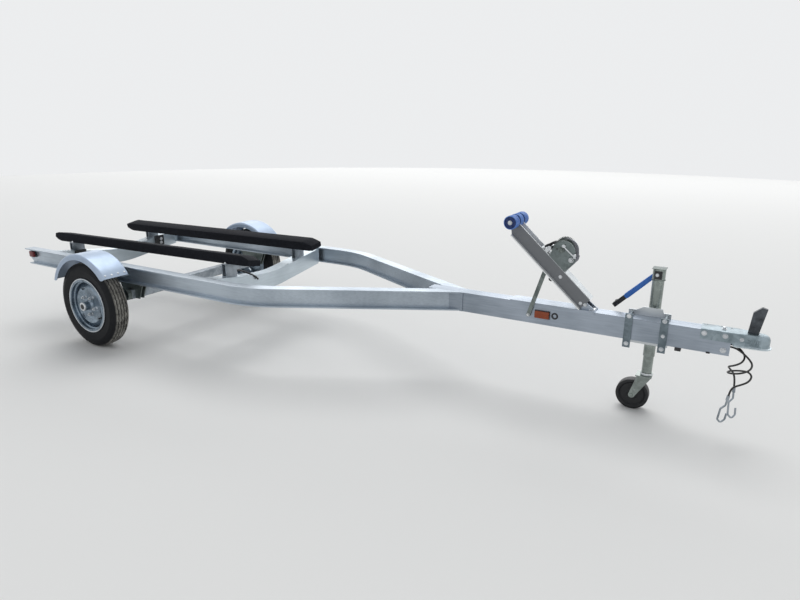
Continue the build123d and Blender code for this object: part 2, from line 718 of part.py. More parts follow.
# how far in from the nose the round end stays, height from and to, half width at the tongue's end
coupler_levels = [
    dict(back=COUPLER_LIP, z0=COUPLER_BOT, z1=FRAME_TOP + COUPLER_T, half=coupler_half),
    dict(back=0.0, z0=COUPLER_BOT, z1=COUPLER_BOT + 6, half=coupler_half + 5),
]
with BuildPart() as coupler:
    cap = (TONGUE_FRONT - COUPLER_LAP, TONGUE_FRONT + 6, -coupler_half, coupler_half)
    add(box(*cap, FRAME_TOP - COUPLER_SIDE, FRAME_TOP + COUPLER_T))
    for c in coupler_levels:
        with BuildSketch(Plane.XY.offset(c["z0"])):
            with Locations((BALL_X, 0)):
                Circle(BALL_BACK - c["back"])
            with Locations((TONGUE_FRONT + 12, 0)):
                Rectangle(24, 2 * c["half"])
            make_hull()
        extrude(amount=c["z1"] - c["z0"])
    inside = (TONGUE_FRONT - COUPLER_LAP, TONGUE_FRONT, -TONGUE_HALF, TONGUE_HALF)
    add(box(*inside, FRAME_BOT, FRAME_TOP), mode=Mode.SUBTRACT)
    add(rod_z(BALL_X, 0, BALL_R, COUPLER_BOT, BALL_Z), mode=Mode.SUBTRACT)
    add(Pos(BALL_X, 0, BALL_Z) * Sphere(BALL_R, mode=Mode.PRIVATE), mode=Mode.SUBTRACT)
save("coupler", coupler.part)

LATCH_X = TONGUE_FRONT + 55.0
LATCH_H = 110.0
latch_foot = FRAME_TOP + COUPLER_T
with BuildPart() as latch:
    latch_side = [
        (LATCH_X, latch_foot),
        (LATCH_X + 40, latch_foot),
        (LATCH_X + 58, latch_foot + LATCH_H),
        (LATCH_X + 38, latch_foot + LATCH_H + 6),
        (LATCH_X + 8, latch_foot + LATCH_H - 20),
    ]
    extrude(side_shape(LATCH_HALF, latch_side), amount=2 * LATCH_HALF)
save("coupler_latch", latch.part)

# Jack: straps and plate on the tongue, the swinging tube with its pivot disc, crank, leg, fork and wheel
PIVOT_Z = FRAME_TOP - PIVOT_DROP
plate_y = TONGUE_HALF + CLAMP_T
with BuildPart() as clamp:
    for x in STRAPS:
        near = (JACK_X + x - STRAP_W / 2, JACK_X + x + STRAP_W / 2, -TONGUE_HALF - CLAMP_T, -TONGUE_HALF)
        add(box(*near, FRAME_BOT - STRAP_PAST, FRAME_TOP + STRAP_UP))
        for z in (FRAME_BOT - STRAP_PAST / 2, FRAME_TOP + STRAP_UP / 2):
            add(rod_y(JACK_X + x, z, 6, -plate_y - 6, plate_y + 6))
    hump = [
        (JACK_X + STRAPS[0] - STRAP_W / 2, FRAME_BOT - STRAP_PAST),
        (JACK_X + STRAPS[1] + STRAP_W / 2, FRAME_BOT - STRAP_PAST),
        (JACK_X + STRAPS[1] + STRAP_W / 2, FRAME_TOP + STRAP_UP),
        (JACK_X + STRAPS[1] - STRAP_W / 2, FRAME_TOP + STRAP_UP),
        (JACK_X + HUMP_HALF, FRAME_TOP + HUMP_UP),
        (JACK_X - HUMP_HALF, FRAME_TOP + HUMP_UP),
        (JACK_X + STRAPS[0] + STRAP_W / 2, FRAME_TOP + STRAP_UP),
        (JACK_X + STRAPS[0] - STRAP_W / 2, FRAME_TOP + STRAP_UP),
    ]
    extrude(side_shape(plate_y, hump), amount=CLAMP_T)
    add(rod_y(JACK_X, PIVOT_Z, PIVOT_R, TONGUE_HALF, plate_y + PIVOT_STUB))
save("jack_clamp", clamp.part)

JACK_TOP = FRAME_TOP + JACK_UP
JACK_BOT = FRAME_BOT - JACK_DOWN
LEG_R = JACK_R - JACK_WALL
disc_y = plate_y + PIVOT_STUB + 1
with BuildPart() as jack:
    add(rod_z(JACK_X, JACK_OUT, JACK_R, JACK_BOT, JACK_TOP))
    add(rod_z(JACK_X, JACK_OUT, JACK_HEAD_R, JACK_TOP - JACK_HEAD_H, JACK_TOP + 3))
    add(rod_y(JACK_X, PIVOT_Z, PIVOT_DISC, disc_y, JACK_OUT))
    add(rod_z(JACK_X, JACK_OUT, LEG_R + FIT, JACK_BOT - 1, LEG_TOP + LEG_ROOM), mode=Mode.SUBTRACT)
save("jack_tube", jack.part)

JCRANK_Y = JACK_OUT + JACK_HEAD_R + 4
with BuildPart() as jack_crank:
    crank_hub = (JACK_X, JACK_TOP - 16)
    crank_tip = (crank_hub[0] - JCRANK_BACK, crank_hub[1] - JCRANK_DOWN)
    extrude(bar_shape(JCRANK_Y, crank_hub, 11, crank_tip, 11), amount=-5)
    add(rod_y(*crank_hub, 9, JACK_OUT + JACK_HEAD_R, JCRANK_Y + 7))
    add(rod_y(*crank_tip, 12, JCRANK_Y, JCRANK_Y + JCRANK_GRIP))
save("jack_crank", jack_crank.part)

CROWN_Z = 2 * CASTER_R + CROWN_GAP
LEG_BOT = CROWN_Z + 2 * CROWN_T + 8
with BuildPart() as leg:
    add(rod_z(JACK_X, JACK_OUT, LEG_R, LEG_BOT, LEG_TOP))
save("jack_leg", leg.part)

pin_x = JACK_X - TRAIL
fork_in = CASTER_W / 2 + SIDE_GAP
with BuildPart() as fork:
    add(rod_z(JACK_X, JACK_OUT, LEG_R + 4, CROWN_Z + CROWN_T, LEG_BOT))
    crown = (JACK_X - 44, JACK_X + LEG_R + 5, JACK_OUT - fork_in - FORK_T, JACK_OUT + fork_in + FORK_T)
    add(box(*crown, CROWN_Z, CROWN_Z + CROWN_T))
    for y in (JACK_OUT - fork_in, JACK_OUT + fork_in + FORK_T):
        with BuildSketch(Plane.XZ.offset(-y)):
            with Locations((pin_x, CASTER_R)):
                Circle(14)
            for x in (JACK_X - 34, JACK_X + LEG_R):
                with Locations((x, CROWN_Z + CROWN_T - 3)):
                    Circle(3)
            make_hull()
        extrude(amount=FORK_T)
    pin_half = fork_in + FORK_T + 5
    add(rod_y(pin_x, CASTER_R, CASTER_PIN_R, JACK_OUT - pin_half, JACK_OUT + pin_half))
save("caster_fork", fork.part)

with BuildPart() as caster:
    caster_y = (JACK_OUT - CASTER_W / 2, JACK_OUT + CASTER_W / 2)
    add(rod_y(pin_x, CASTER_R, CASTER_R, *caster_y))
    fillet(caster.edges(), CASTER_ROUND)
    add(rod_y(pin_x, CASTER_R, CASTER_PIN_R + FIT, *caster_y), mode=Mode.SUBTRACT)
save("caster_wheel", caster.part)

# Lights: an amber marker on each side of the tongue and a red one at each rail's rear end
with BuildPart() as amber:
    add(box(AMBER_X, AMBER_X + AMBER_L, -TONGUE_HALF - AMBER_T, -TONGUE_HALF, AMBER_Z, AMBER_Z + AMBER_H))
save_pair("amber_marker", amber.part)
with BuildPart() as tail:
    light_out = -RAIL_HALF - TAIL_PAST
    add(box(TAIL_X, TAIL_X + TAIL_BASE, light_out + 6, -RAIL_HALF + web_in, TAIL_Z + 6, TAIL_Z + TAIL_H - 6))
    add(box(TAIL_X + 14, TAIL_X + TAIL_BASE, light_out, light_out + 14, TAIL_Z, TAIL_Z + TAIL_H))
save_pair("tail_light", tail.part)

# Safety cables: they leave a plate in the tongue's open end, loop once and end in snap hooks
CABLE_R = 4.0
ANCHOR_T = 6.0
ANCHOR_X = TONGUE_FRONT - 4
with BuildPart() as anchor:
    inside = TONGUE_HALF - TONGUE_WALL
    low = FRAME_BOT + TONGUE_WALL
    add(box(ANCHOR_X - ANCHOR_T, ANCHOR_X, -inside, inside, low, low + 46))
save("cable_anchor", anchor.part)


def cable(route):
    # a tube along straight runs joined by arcs as large as the shorter run beside each point allows
    points = [Vector(*p) for p in route]
    radii = []
    for before, at, after in zip(points, points[1:], points[2:]):
        turn = radians((at - before).get_angle(after - at))
        radii.append(0.45 * min((at - before).length, (after - at).length) / tan(turn / 2))
    with BuildPart() as tube:
        with BuildLine() as path:
            FilletPolyline(*points, radius=radii)
        with BuildSketch(Plane(origin=points[0], z_dir=points[1] - points[0])):
            Circle(CABLE_R)
        sweep()
    length = sum(edge.length for edge in path.edges())
    area = tube.part.volume / length
    print("cable radii", [round(r, 1) for r in radii], "length", round(length, 1), "section", round(area, 2))
    return tube.part


# Each route's points, X measured from the tongue's front end, and the way that its hook faces
cables = [
    dict(name="right", faces=(0.5, -0.87, 0), route=[
        (-4, -18, 424), (16, -18, 424), (44, -26, 412), (72, -42, 395), (92, -68, 378), (84, -98, 361),
        (54, -112, 347), (24, -102, 336), (4, -80, 329), (8, -52, 326), (32, -36, 328), (58, -38, 333),
        (82, -50, 337), (97, -74, 328), (86, -98, 310), (62, -102, 294), (40, -99, 280), (27, -93, 260),
        (24, -90, 232),
    ]),
    dict(name="left", faces=(0.5, -0.87, 0), route=[
        (-4, 18, 424), (16, 18, 424), (44, 10, 408), (62, -10, 388), (54, -34, 368), (28, -42, 352),
        (6, -24, 338), (8, 4, 322), (29, 14, 299), (38, 4, 272), (40, -3, 241),
    ]),
]
HOOK_R = 4.0
FERRULE_R = 6.5
FERRULE_L = 24.0
# across and along the hook: the eye, the hook's back, its nose and the tip that comes back up
hook_bends = [(0, 18), (0, 50), (17, 67), (17, 122), (0, 139), (-15, 122), (-15, 92)]
for c in cables:
    route = [(TONGUE_FRONT + x, y, z) for x, y, z in c["route"]]
    save("safety_cable_" + c["name"], cable(route))
    end = Vector(*route[-1])
    down = (end - Vector(*route[-2])).normalized()
    across = down.cross(Vector(*c["faces"])).normalized()
    hook_plane = Plane(origin=end, x_dir=across, z_dir=across.cross(down))
    with BuildPart() as hook:
        with BuildSketch(Plane(origin=end, z_dir=down)):
            Circle(FERRULE_R)
        extrude(amount=FERRULE_L)
        with BuildLine(hook_plane):
            FilletPolyline(*hook_bends, radius=9)
        with BuildSketch(Plane(origin=end + down * 18, z_dir=down)):
            Circle(HOOK_R)
        sweep()
    save("safety_hook_" + c["name"], hook.part)

boxes = [piece.bounding_box() for piece in made.values()]
lo = (min(b.min.X for b in boxes), min(b.min.Y for b in boxes), min(b.min.Z for b in boxes))
hi = (max(b.max.X for b in boxes), max(b.max.Y for b in boxes), max(b.max.Z for b in boxes))
print(len(made), "pieces, from", [round(v, 1) for v in lo], "to", [round(v, 1) for v in hi])
print("roller", ROLLER_C, "drum", DRUM_C, "pinion", PINION_C, "post end", POST_END)
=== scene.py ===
import math

import bmesh
import bpy
from mathutils import Matrix, Vector, noise


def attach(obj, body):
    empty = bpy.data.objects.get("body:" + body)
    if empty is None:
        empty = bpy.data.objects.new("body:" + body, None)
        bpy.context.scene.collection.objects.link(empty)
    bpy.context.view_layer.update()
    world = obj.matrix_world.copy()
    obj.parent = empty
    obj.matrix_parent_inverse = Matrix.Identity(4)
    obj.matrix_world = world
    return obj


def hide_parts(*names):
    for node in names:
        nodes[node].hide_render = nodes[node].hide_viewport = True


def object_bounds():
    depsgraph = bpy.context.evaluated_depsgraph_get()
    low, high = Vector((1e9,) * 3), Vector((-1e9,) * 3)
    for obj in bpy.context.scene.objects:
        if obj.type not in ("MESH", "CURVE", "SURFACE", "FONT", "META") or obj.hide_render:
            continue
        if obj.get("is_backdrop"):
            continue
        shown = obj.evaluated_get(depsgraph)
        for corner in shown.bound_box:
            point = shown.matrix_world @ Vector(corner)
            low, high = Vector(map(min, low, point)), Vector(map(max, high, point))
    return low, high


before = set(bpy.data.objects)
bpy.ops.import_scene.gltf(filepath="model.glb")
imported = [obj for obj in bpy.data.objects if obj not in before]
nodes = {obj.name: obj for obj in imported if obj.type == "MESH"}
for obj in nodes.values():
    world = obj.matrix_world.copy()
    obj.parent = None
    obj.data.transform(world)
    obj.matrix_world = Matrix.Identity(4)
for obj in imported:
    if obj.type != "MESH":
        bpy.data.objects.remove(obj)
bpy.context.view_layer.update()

# Camera. It stands off the trailer's right front corner at eye height, level with the photograph's
# view: turned left from square on, tipped down at the tongue, with a wide lens.
CAMERA_AT = (2.0603, -2.8055, 1.3411)
CAMERA_LEFT = 0.52356
CAMERA_DOWN = 0.2890
CAMERA_ROLL = 0.0042
FOCAL_PX = 601.77
FRAME_PX = 800
camera = bpy.data.cameras.new("camera")
camera.sensor_width = 36
camera.lens = camera.sensor_width * FOCAL_PX / FRAME_PX
camera_object = bpy.data.objects.new("camera", camera)
bpy.context.scene.collection.objects.link(camera_object)
camera_object.matrix_world = (
    Matrix.Translation(CAMERA_AT)
    @ Matrix.Rotation(CAMERA_LEFT, 4, "Z")
    @ Matrix.Rotation(math.pi / 2 - CAMERA_DOWN, 4, "X")
    @ Matrix.Rotation(CAMERA_ROLL, 4, "Z")
)
bpy.context.scene.camera = camera_object
bpy.context.scene.view_settings.view_transform = "Standard"

# Studio. A wide pale floor under a soft sky, a broad high sun behind the object for its shadow, and
# a long softbox low behind it that the flat tops mirror, while the upright faces mirror the floor.
FLOOR_TONE = (0.80, 0.80, 0.79, 1)
FLOOR_RADIUS = 15
SKY_TONE = (0.96, 0.98, 1.0, 1)
SKY_LIGHT = 0.50
SKY_SEEN = (0.84, 0.85, 0.86, 1)
SUN_FROM = (-0.25, 0.45, 1.0)
SUN_POWER = 1.15
SUN_SPREAD = math.radians(45)
SOFTBOX_AT = (-10.5, 16.0, 7.7)
SOFTBOX_SIZE = (40.0, 7.2)
SOFTBOX_TIP = math.radians(72)
SOFTBOX_POWER = 1350


def link_mesh(name, bm, material, smooth=True):
    """Makes an object at the origin from a finished mesh; edges over 35 degrees stay crisp."""
    mesh = bpy.data.meshes.new(name)
    if smooth:
        for edge in bm.edges:
            edge.smooth = len(edge.link_faces) == 2 and edge.calc_face_angle(0) < math.radians(35)
    bm.to_mesh(mesh)
    bm.free()
    for face in mesh.polygons:
        face.use_smooth = smooth
    mesh.materials.append(material)
    piece = bpy.data.objects.new(name, mesh)
    bpy.context.scene.collection.objects.link(piece)
    return piece


def new_material(name):
    """A material, its node tree and its shader."""
    material = bpy.data.materials.new(name)
    material.use_nodes = True
    tree = material.node_tree
    return material, tree, tree.nodes["Principled BSDF"]


def add_node(tree, kind, **values):
    """A new node; each value goes to the input of that name, or else to the setting."""
    node = tree.nodes.new(kind)
    for key, value in values.items():
        if key in node.inputs:
            node.inputs[key].default_value = value
        else:
            setattr(node, key, value)
    return node


floor_material, _, floor_shader = new_material("floor")
floor_shader.inputs["Base Color"].default_value = FLOOR_TONE
floor_shader.inputs["Roughness"].default_value = 0.9
floor_bm = bmesh.new()
bmesh.ops.create_circle(floor_bm, cap_ends=True, segments=128, radius=FLOOR_RADIUS)
floor = link_mesh("studio_floor", floor_bm, floor_material, smooth=False)
floor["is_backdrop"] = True

world = bpy.data.worlds.new("studio")
world.use_nodes = True
bpy.context.scene.world = world
sky = world.node_tree
sky_light = sky.nodes["Background"]
sky_light.inputs["Color"].default_value = SKY_TONE
sky_light.inputs["Strength"].default_value = SKY_LIGHT
sky_seen = add_node(sky, "ShaderNodeBackground", Color=SKY_SEEN, Strength=1.0)
ray = add_node(sky, "ShaderNodeLightPath")
sky_mix = add_node(sky, "ShaderNodeMixShader")
seen = add_node(sky, "ShaderNodeMath", operation="MAXIMUM")
seen_any = add_node(sky, "ShaderNodeMath", operation="MAXIMUM")
sky.links.new(ray.outputs["Is Camera Ray"], seen.inputs[0])
sky.links.new(ray.outputs["Is Glossy Ray"], seen.inputs[1])
sky.links.new(seen.outputs[0], seen_any.inputs[0])
sky.links.new(ray.outputs["Is Transmission Ray"], seen_any.inputs[1])
sky.links.new(seen_any.outputs[0], sky_mix.inputs["Fac"])
sky.links.new(sky_light.outputs["Background"], sky_mix.inputs[1])
sky.links.new(sky_seen.outputs["Background"], sky_mix.inputs[2])
sky.links.new(sky_mix.outputs["Shader"], sky.nodes["World Output"].inputs["Surface"])

sun = bpy.data.lights.new("sun", "SUN")
sun.energy = SUN_POWER
sun.angle = SUN_SPREAD
sun_object = bpy.data.objects.new("sun", sun)
sun_object.rotation_euler = Vector(SUN_FROM).to_track_quat("Z", "Y").to_euler()
bpy.context.scene.collection.objects.link(sun_object)

softbox = bpy.data.lights.new("softbox", "AREA")
softbox.shape = "RECTANGLE"
softbox.size, softbox.size_y = SOFTBOX_SIZE
softbox.energy = SOFTBOX_POWER
softbox_object = bpy.data.objects.new("softbox", softbox)
softbox_object.location = SOFTBOX_AT
softbox_object.rotation_euler = (SOFTBOX_TIP, 0, math.pi)
softbox_object.visible_camera = False
bpy.context.scene.collection.objects.link(softbox_object)

# Side rails, tongue, crossmembers, post saddle and post cover. Bare mill-finish aluminium extrusions and
# plate, welded and bolted: bright where they were drawn clean, and streaked along their length.
def streaked_metal(name, pale, dull, rough, metallic, stretch, scale):
    """A metal with a pale and a dull tone in streaks, and roughness that goes with them."""
    material, tree, shader = new_material(name)
    shader.inputs["Metallic"].default_value = metallic
    place = add_node(tree, "ShaderNodeTexCoord")
    drawn = add_node(tree, "ShaderNodeMapping")
    drawn.inputs["Scale"].default_value = stretch
    streak = add_node(tree, "ShaderNodeTexNoise", Scale=scale, Detail=6.0, Roughness=0.62)
    cloud = add_node(tree, "ShaderNodeTexNoise", Scale=3.0, Detail=3.0)
    both = add_node(tree, "ShaderNodeMath", operation="MULTIPLY_ADD")
    both.inputs[1].default_value = 0.55
    tone = add_node(tree, "ShaderNodeValToRGB")
    tone.color_ramp.elements[0].position = 0.55
    tone.color_ramp.elements[0].color = (*dull, 1)
    tone.color_ramp.elements[1].position = 0.95
    tone.color_ramp.elements[1].color = (*pale, 1)
    polish = add_node(tree, "ShaderNodeMapRange")
    polish.inputs["From Min"].default_value = 0.5
    polish.inputs["From Max"].default_value = 1.0
    polish.inputs["To Min"].default_value = rough[1]
    polish.inputs["To Max"].default_value = rough[0]
    relief = add_node(tree, "ShaderNodeBump", Strength=0.25, Distance=0.001)
    links = tree.links
    links.new(place.outputs["Object"], drawn.inputs["Vector"])
    links.new(place.outputs["Object"], cloud.inputs["Vector"])
    links.new(drawn.outputs["Vector"], streak.inputs["Vector"])
    links.new(streak.outputs["Fac"], both.inputs[0])
    links.new(cloud.outputs["Fac"], both.inputs[2])
    links.new(both.outputs[0], tone.inputs["Fac"])
    links.new(both.outputs[0], polish.inputs["Value"])
    links.new(tone.outputs["Color"], shader.inputs["Base Color"])
    links.new(polish.outputs["Result"], shader.inputs["Roughness"])
    links.new(streak.outputs["Fac"], relief.inputs["Height"])
    links.new(relief.outputs["Normal"], shader.inputs["Normal"])
    return material


def dress(material, slot, *names):
    """Gives CAD nodes a material; slot is not used."""
    for name in names:
        nodes[name].data.materials.clear()
        nodes[name].data.materials.append(material)


mill = streaked_metal(
    "mill_aluminium", (0.50, 0.565, 0.63), (0.35, 0.40, 0.455), (0.28, 0.44), 0.80, (2.0, 30.0, 30.0), 4.0
)
mill_grey = streaked_metal(
    "weathered_aluminium", (0.40, 0.45, 0.52), (0.26, 0.30, 0.35), (0.30, 0.46), 0.88, (2.0, 30.0, 30.0), 4.0
)
mill_bright = streaked_metal(
    "bright_aluminium", (0.62, 0.655, 0.675), (0.52, 0.55, 0.57), (0.34, 0.50), 0.60, (8.0, 8.0, 8.0), 4.0
)
mill_pale = streaked_metal(
    "pale_aluminium", (0.64, 0.72, 0.78), (0.50, 0.57, 0.62), (0.28, 0.44), 0.75, (30.0, 2.0, 30.0), 4.0
)
dress(mill, "aluminium", "side_rail_right", "side_rail_left")
dress(mill_pale, "aluminium", "front_crossmember", "rear_crossmember")
dress(mill_grey, "aluminium", "tongue_beam", "winch_saddle")
dress(mill_bright, "aluminium", "post_cover")

# Winch post. The same extrusion, with its rear flange's wings standing out past the walls; their
# edges carry a painted highlight and the walls between a painted shade, over a pale ground that paints
# light into the channel.
def tint_past(material, axis, start, end, tint, part=1.0):
    """Blends a material to another tone where an Object coordinate goes from start to end."""
    tree = material.node_tree
    shader = tree.nodes["Principled BSDF"]
    ground = shader.inputs["Base Color"].links[0].from_socket
    place = add_node(tree, "ShaderNodeTexCoord")
    split = add_node(tree, "ShaderNodeSeparateXYZ")
    reach = add_node(tree, "ShaderNodeMapRange")
    reach.inputs["From Min"].default_value = start
    reach.inputs["From Max"].default_value = end
    reach.inputs["To Max"].default_value = part
    blend = add_node(tree, "ShaderNodeMix", data_type="RGBA")
    blend.inputs["B"].default_value = (*tint, 1)
    tree.links.new(place.outputs["Object"], split.inputs["Vector"])
    tree.links.new(split.outputs[axis], reach.inputs["Value"])
    tree.links.new(ground, blend.inputs["A"])
    tree.links.new(reach.outputs["Result"], blend.inputs["Factor"])
    tree.links.new(blend.outputs["Result"], shader.inputs["Base Color"])


POST_WALL_Y = 0.0300
POST_WING_Y = 0.0330
TINT_EDGE = 0.0005
# A pale ground, which paints light into the channel.
post_skin = streaked_metal(
    "post_aluminium_painted_light", (0.80, 0.82, 0.84), (0.62, 0.64, 0.66), (0.34, 0.50), 0.40, (12.0, 12.0, 12.0), 4.0
)
# Painted shade on the walls' outer faces and a painted highlight past them on the wings' edges.
for sign in (-1, 1):
    for y, tint, part in ((POST_WALL_Y, (0.13, 0.138, 0.15), 0.92), (POST_WING_Y, (0.86, 0.88, 0.89), 1.0)):
        tint_past(post_skin, "Y", sign * (y - TINT_EDGE), sign * (y + TINT_EDGE), tint, part)
dress(post_skin, "aluminium", "winch_post")

# Axle, hangers, arms, brackets, strut, rims, winch plates and the jack's ironwork. Hot-dip galvanised
# mild steel with zinc spangle; the arms, hangers and strut are made darker as painted shade, and the left
# plates of the jack clamp and the winch are made paler as painted light.
def galvanised(name, pale, dull, rough, grain=75.0, metallic=0.85):
    """Zinc spangle: flat crystals of slightly different grey over a cloudy ground."""
    material, tree, shader = new_material(name)
    shader.inputs["Metallic"].default_value = metallic
    place = add_node(tree, "ShaderNodeTexCoord")
    crystal = add_node(tree, "ShaderNodeTexVoronoi", Scale=grain)
    cloud = add_node(tree, "ShaderNodeTexNoise", Scale=14.0, Detail=5.0)
    both = add_node(tree, "ShaderNodeMath", operation="MULTIPLY_ADD")
    both.inputs[1].default_value = 0.30
    tone = add_node(tree, "ShaderNodeValToRGB")
    tone.color_ramp.elements[0].position = 0.40
    tone.color_ramp.elements[0].color = (*dull, 1)
    tone.color_ramp.elements[1].position = 0.82
    tone.color_ramp.elements[1].color = (*pale, 1)
    polish = add_node(tree, "ShaderNodeMapRange")
    polish.inputs["To Min"].default_value = rough[0]
    polish.inputs["To Max"].default_value = rough[1]
    relief = add_node(tree, "ShaderNodeBump", Strength=0.2, Distance=0.0008)
    links = tree.links
    links.new(place.outputs["Object"], crystal.inputs["Vector"])
    links.new(place.outputs["Object"], cloud.inputs["Vector"])
    links.new(crystal.outputs["Color"], both.inputs[0])
    links.new(cloud.outputs["Fac"], both.inputs[2])
    links.new(both.outputs[0], tone.inputs["Fac"])
    links.new(both.outputs[0], polish.inputs["Value"])
    links.new(tone.outputs["Color"], shader.inputs["Base Color"])
    links.new(polish.outputs["Result"], shader.inputs["Roughness"])
    links.new(cloud.outputs["Fac"], relief.inputs["Height"])
    links.new(relief.outputs["Normal"], shader.inputs["Normal"])
    return material


zinc = galvanised("galvanised_steel", (0.40, 0.44, 0.48), (0.20, 0.23, 0.26), (0.34, 0.52))
# Darker zinc: painted shade on the arms, hangers and strut; it also serves the winch drum and the jack's cap
# plate.
zinc_dark = galvanised("dark_zinc_painted_shade", (0.22, 0.25, 0.24), (0.10, 0.12, 0.115), (0.36, 0.55))
zinc_bright = galvanised("zinc_plate", (0.74, 0.76, 0.78), (0.46, 0.49, 0.52), (0.22, 0.40), 160.0)
zinc_rim = galvanised("spangled_rim", (0.30, 0.37, 0.44), (0.11, 0.14, 0.17), (0.24, 0.40), 130.0)
zinc_jack = galvanised("drawn_zinc", (0.33, 0.37, 0.35), (0.19, 0.215, 0.205), (0.18, 0.30), 60.0, 0.95)
zinc_clamp = galvanised("strap_zinc", (0.20, 0.245, 0.275), (0.105, 0.135, 0.155), (0.30, 0.48))
zinc_winch = galvanised("winch_zinc", (0.20, 0.235, 0.235), (0.10, 0.12, 0.12), (0.32, 0.50))
# The jack clamp's left plate is painted paler as painted light, where it stands in shade.
tint_past(zinc_clamp, "Y", 0.034, 0.036, (0.62, 0.65, 0.67))
# The winch's left plate is painted paler as painted light, where its inner face stands in shade.
tint_past(zinc_winch, "Y", 0.0310, 0.0315, (0.52, 0.53, 0.58))
dress(
    zinc, "galvanised_steel", "fender_mount_right", "fender_mount_left", "bunk_bracket_front_right",
    "bunk_bracket_front_left", "bunk_bracket_rear_right", "bunk_bracket_rear_left", "axle_tube",
    "safety_hook_right", "safety_hook_left",
)
# The arms, hangers and strut take the darker zinc as painted shade.
dress(
    zinc_dark, "galvanised_steel", "axle_arm_right", "axle_arm_left", "axle_hanger_right",
    "axle_hanger_left", "post_strut",
)
dress(zinc_clamp, "galvanised_steel", "jack_clamp")
dress(zinc_winch, "galvanised_steel", "winch_frame")
dress(zinc_jack, "galvanised_steel", "jack_tube", "jack_leg", "caster_fork")
dress(zinc_rim, "galvanised_steel", "wheel_rim_right", "wheel_rim_left")
dress(zinc_bright, "galvanised_steel", "bow_roller_shaft")

# Crossmember clips, cable plate and winch crank. Flat mild steel, bent and painted black, with the
# paint scuffed grey on its edges.
def moulded(name, tone, worn, rough, scale, bump):
    """A paint or plastic with a faint mottle, scuffed paler in places."""
    material, tree, shader = new_material(name)
    place = add_node(tree, "ShaderNodeTexCoord")
    mottle = add_node(tree, "ShaderNodeTexNoise", Scale=scale, Detail=6.0, Roughness=0.65)
    colour = add_node(tree, "ShaderNodeValToRGB")
    colour.color_ramp.elements[0].position = 0.42
    colour.color_ramp.elements[0].color = (*tone, 1)
    colour.color_ramp.elements[1].position = 0.78
    colour.color_ramp.elements[1].color = (*worn, 1)
    polish = add_node(tree, "ShaderNodeMapRange")
    polish.inputs["To Min"].default_value = rough[0]
    polish.inputs["To Max"].default_value = rough[1]
    grain = add_node(tree, "ShaderNodeTexNoise", Scale=scale * 12, Detail=2.0)
    relief = add_node(tree, "ShaderNodeBump", Strength=0.3, Distance=bump)
    links = tree.links
    links.new(place.outputs["Object"], mottle.inputs["Vector"])
    links.new(place.outputs["Object"], grain.inputs["Vector"])
    links.new(mottle.outputs["Fac"], colour.inputs["Fac"])
    links.new(mottle.outputs["Fac"], polish.inputs["Value"])
    links.new(grain.outputs["Fac"], relief.inputs["Height"])
    links.new(colour.outputs["Color"], shader.inputs["Base Color"])
    links.new(polish.outputs["Result"], shader.inputs["Roughness"])
    links.new(relief.outputs["Normal"], shader.inputs["Normal"])
    return material


black_paint = moulded("black_paint", (0.012, 0.013, 0.016), (0.040, 0.040, 0.042), (0.35, 0.6), 30.0, 0.0004)
dress(
    black_paint, "black_steel", "crossmember_clip_right", "crossmember_clip_left", "winch_crank",
    "cable_anchor",
)

# Frame bolts. Zinc-plated hex heads on washers at the bunk brackets' feet, the crossmember clips, the
# post, the strut's foot, the tongue's end and the jack's straps.
AXLE_AT = -1.3215


def facing(at, out):
    """A placing that stands on a face at a place, with Z pointing out of it."""
    turn = Vector((0, 0, 1)).rotation_difference(Vector(out)).to_matrix().to_4x4()
    return Matrix.Translation(at) @ turn


def add_cone(bm, place, low, high, foot, top, sides):
    """A round or six-sided taper between two heights on a placing, with its radius at each."""
    bmesh.ops.create_cone(
        bm, cap_ends=True, segments=sides, radius1=foot, radius2=top, depth=high - low,
        matrix=place @ Matrix.Translation((0, 0, (low + high) / 2)),
    )


def add_bolt(bm, at, out, size):
    """A chamfered hex head on a thin round washer; size is the head's corner radius."""
    place = facing(at, out)
    washer = size * 0.22
    shoulder = washer + size * 0.8
    add_cone(bm, place, 0, washer, size * 1.45, size * 1.4, 24)
    add_cone(bm, place, washer, shoulder, size, size, 6)
    add_cone(bm, place, shoulder, washer + size, size, size * 0.72, 6)


RIGHT = (0, -1, 0)
FORWARD = (1, 0, 0)
# place on the right-hand side, the way the head faces, corner radius; mirrored to the left side
PAIRED_BOLTS = [
    ((AXLE_AT + 0.779, -0.344, 0.5345), (0, 0.18, 0.98), 0.0085),
    ((AXLE_AT - 0.701, -0.344, 0.5120), (0, 0.18, 0.98), 0.0085),
    ((AXLE_AT - 0.638, -0.343, 0.4357), FORWARD, 0.0085),
    ((AXLE_AT - 0.638, -0.341, 0.4069), FORWARD, 0.0085),
    ((1.3358, -0.03175, 0.6367), RIGHT, 0.0062),
    ((2.0539, -0.0381, 0.4098), RIGHT, 0.0088),
    ((1.6635, -0.0451, 0.5000), RIGHT, 0.0072),
    ((1.8135, -0.0451, 0.5000), RIGHT, 0.0072),
    ((1.6635, -0.0451, 0.3689), RIGHT, 0.0072),
    ((1.8135, -0.0451, 0.3689), RIGHT, 0.0072),
]
SINGLE_BOLTS = [
    ((1.8135, -0.0451, 0.4300), RIGHT, 0.0060),
    ((AXLE_AT + 2.518, -0.0481, 0.4294), RIGHT, 0.0060),
]
left_bolts = [((x, -y, z), (ox, -oy, oz), size) for (x, y, z), (ox, oy, oz), size in PAIRED_BOLTS]
for name, rows in (("frame_bolts_right", PAIRED_BOLTS + SINGLE_BOLTS), ("frame_bolts_left", left_bolts)):
    bm = bmesh.new()
    for at, out, size in rows:
        add_bolt(bm, at, out, size)
    piece = link_mesh(name, bm, zinc_bright)
    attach(piece, "frame")

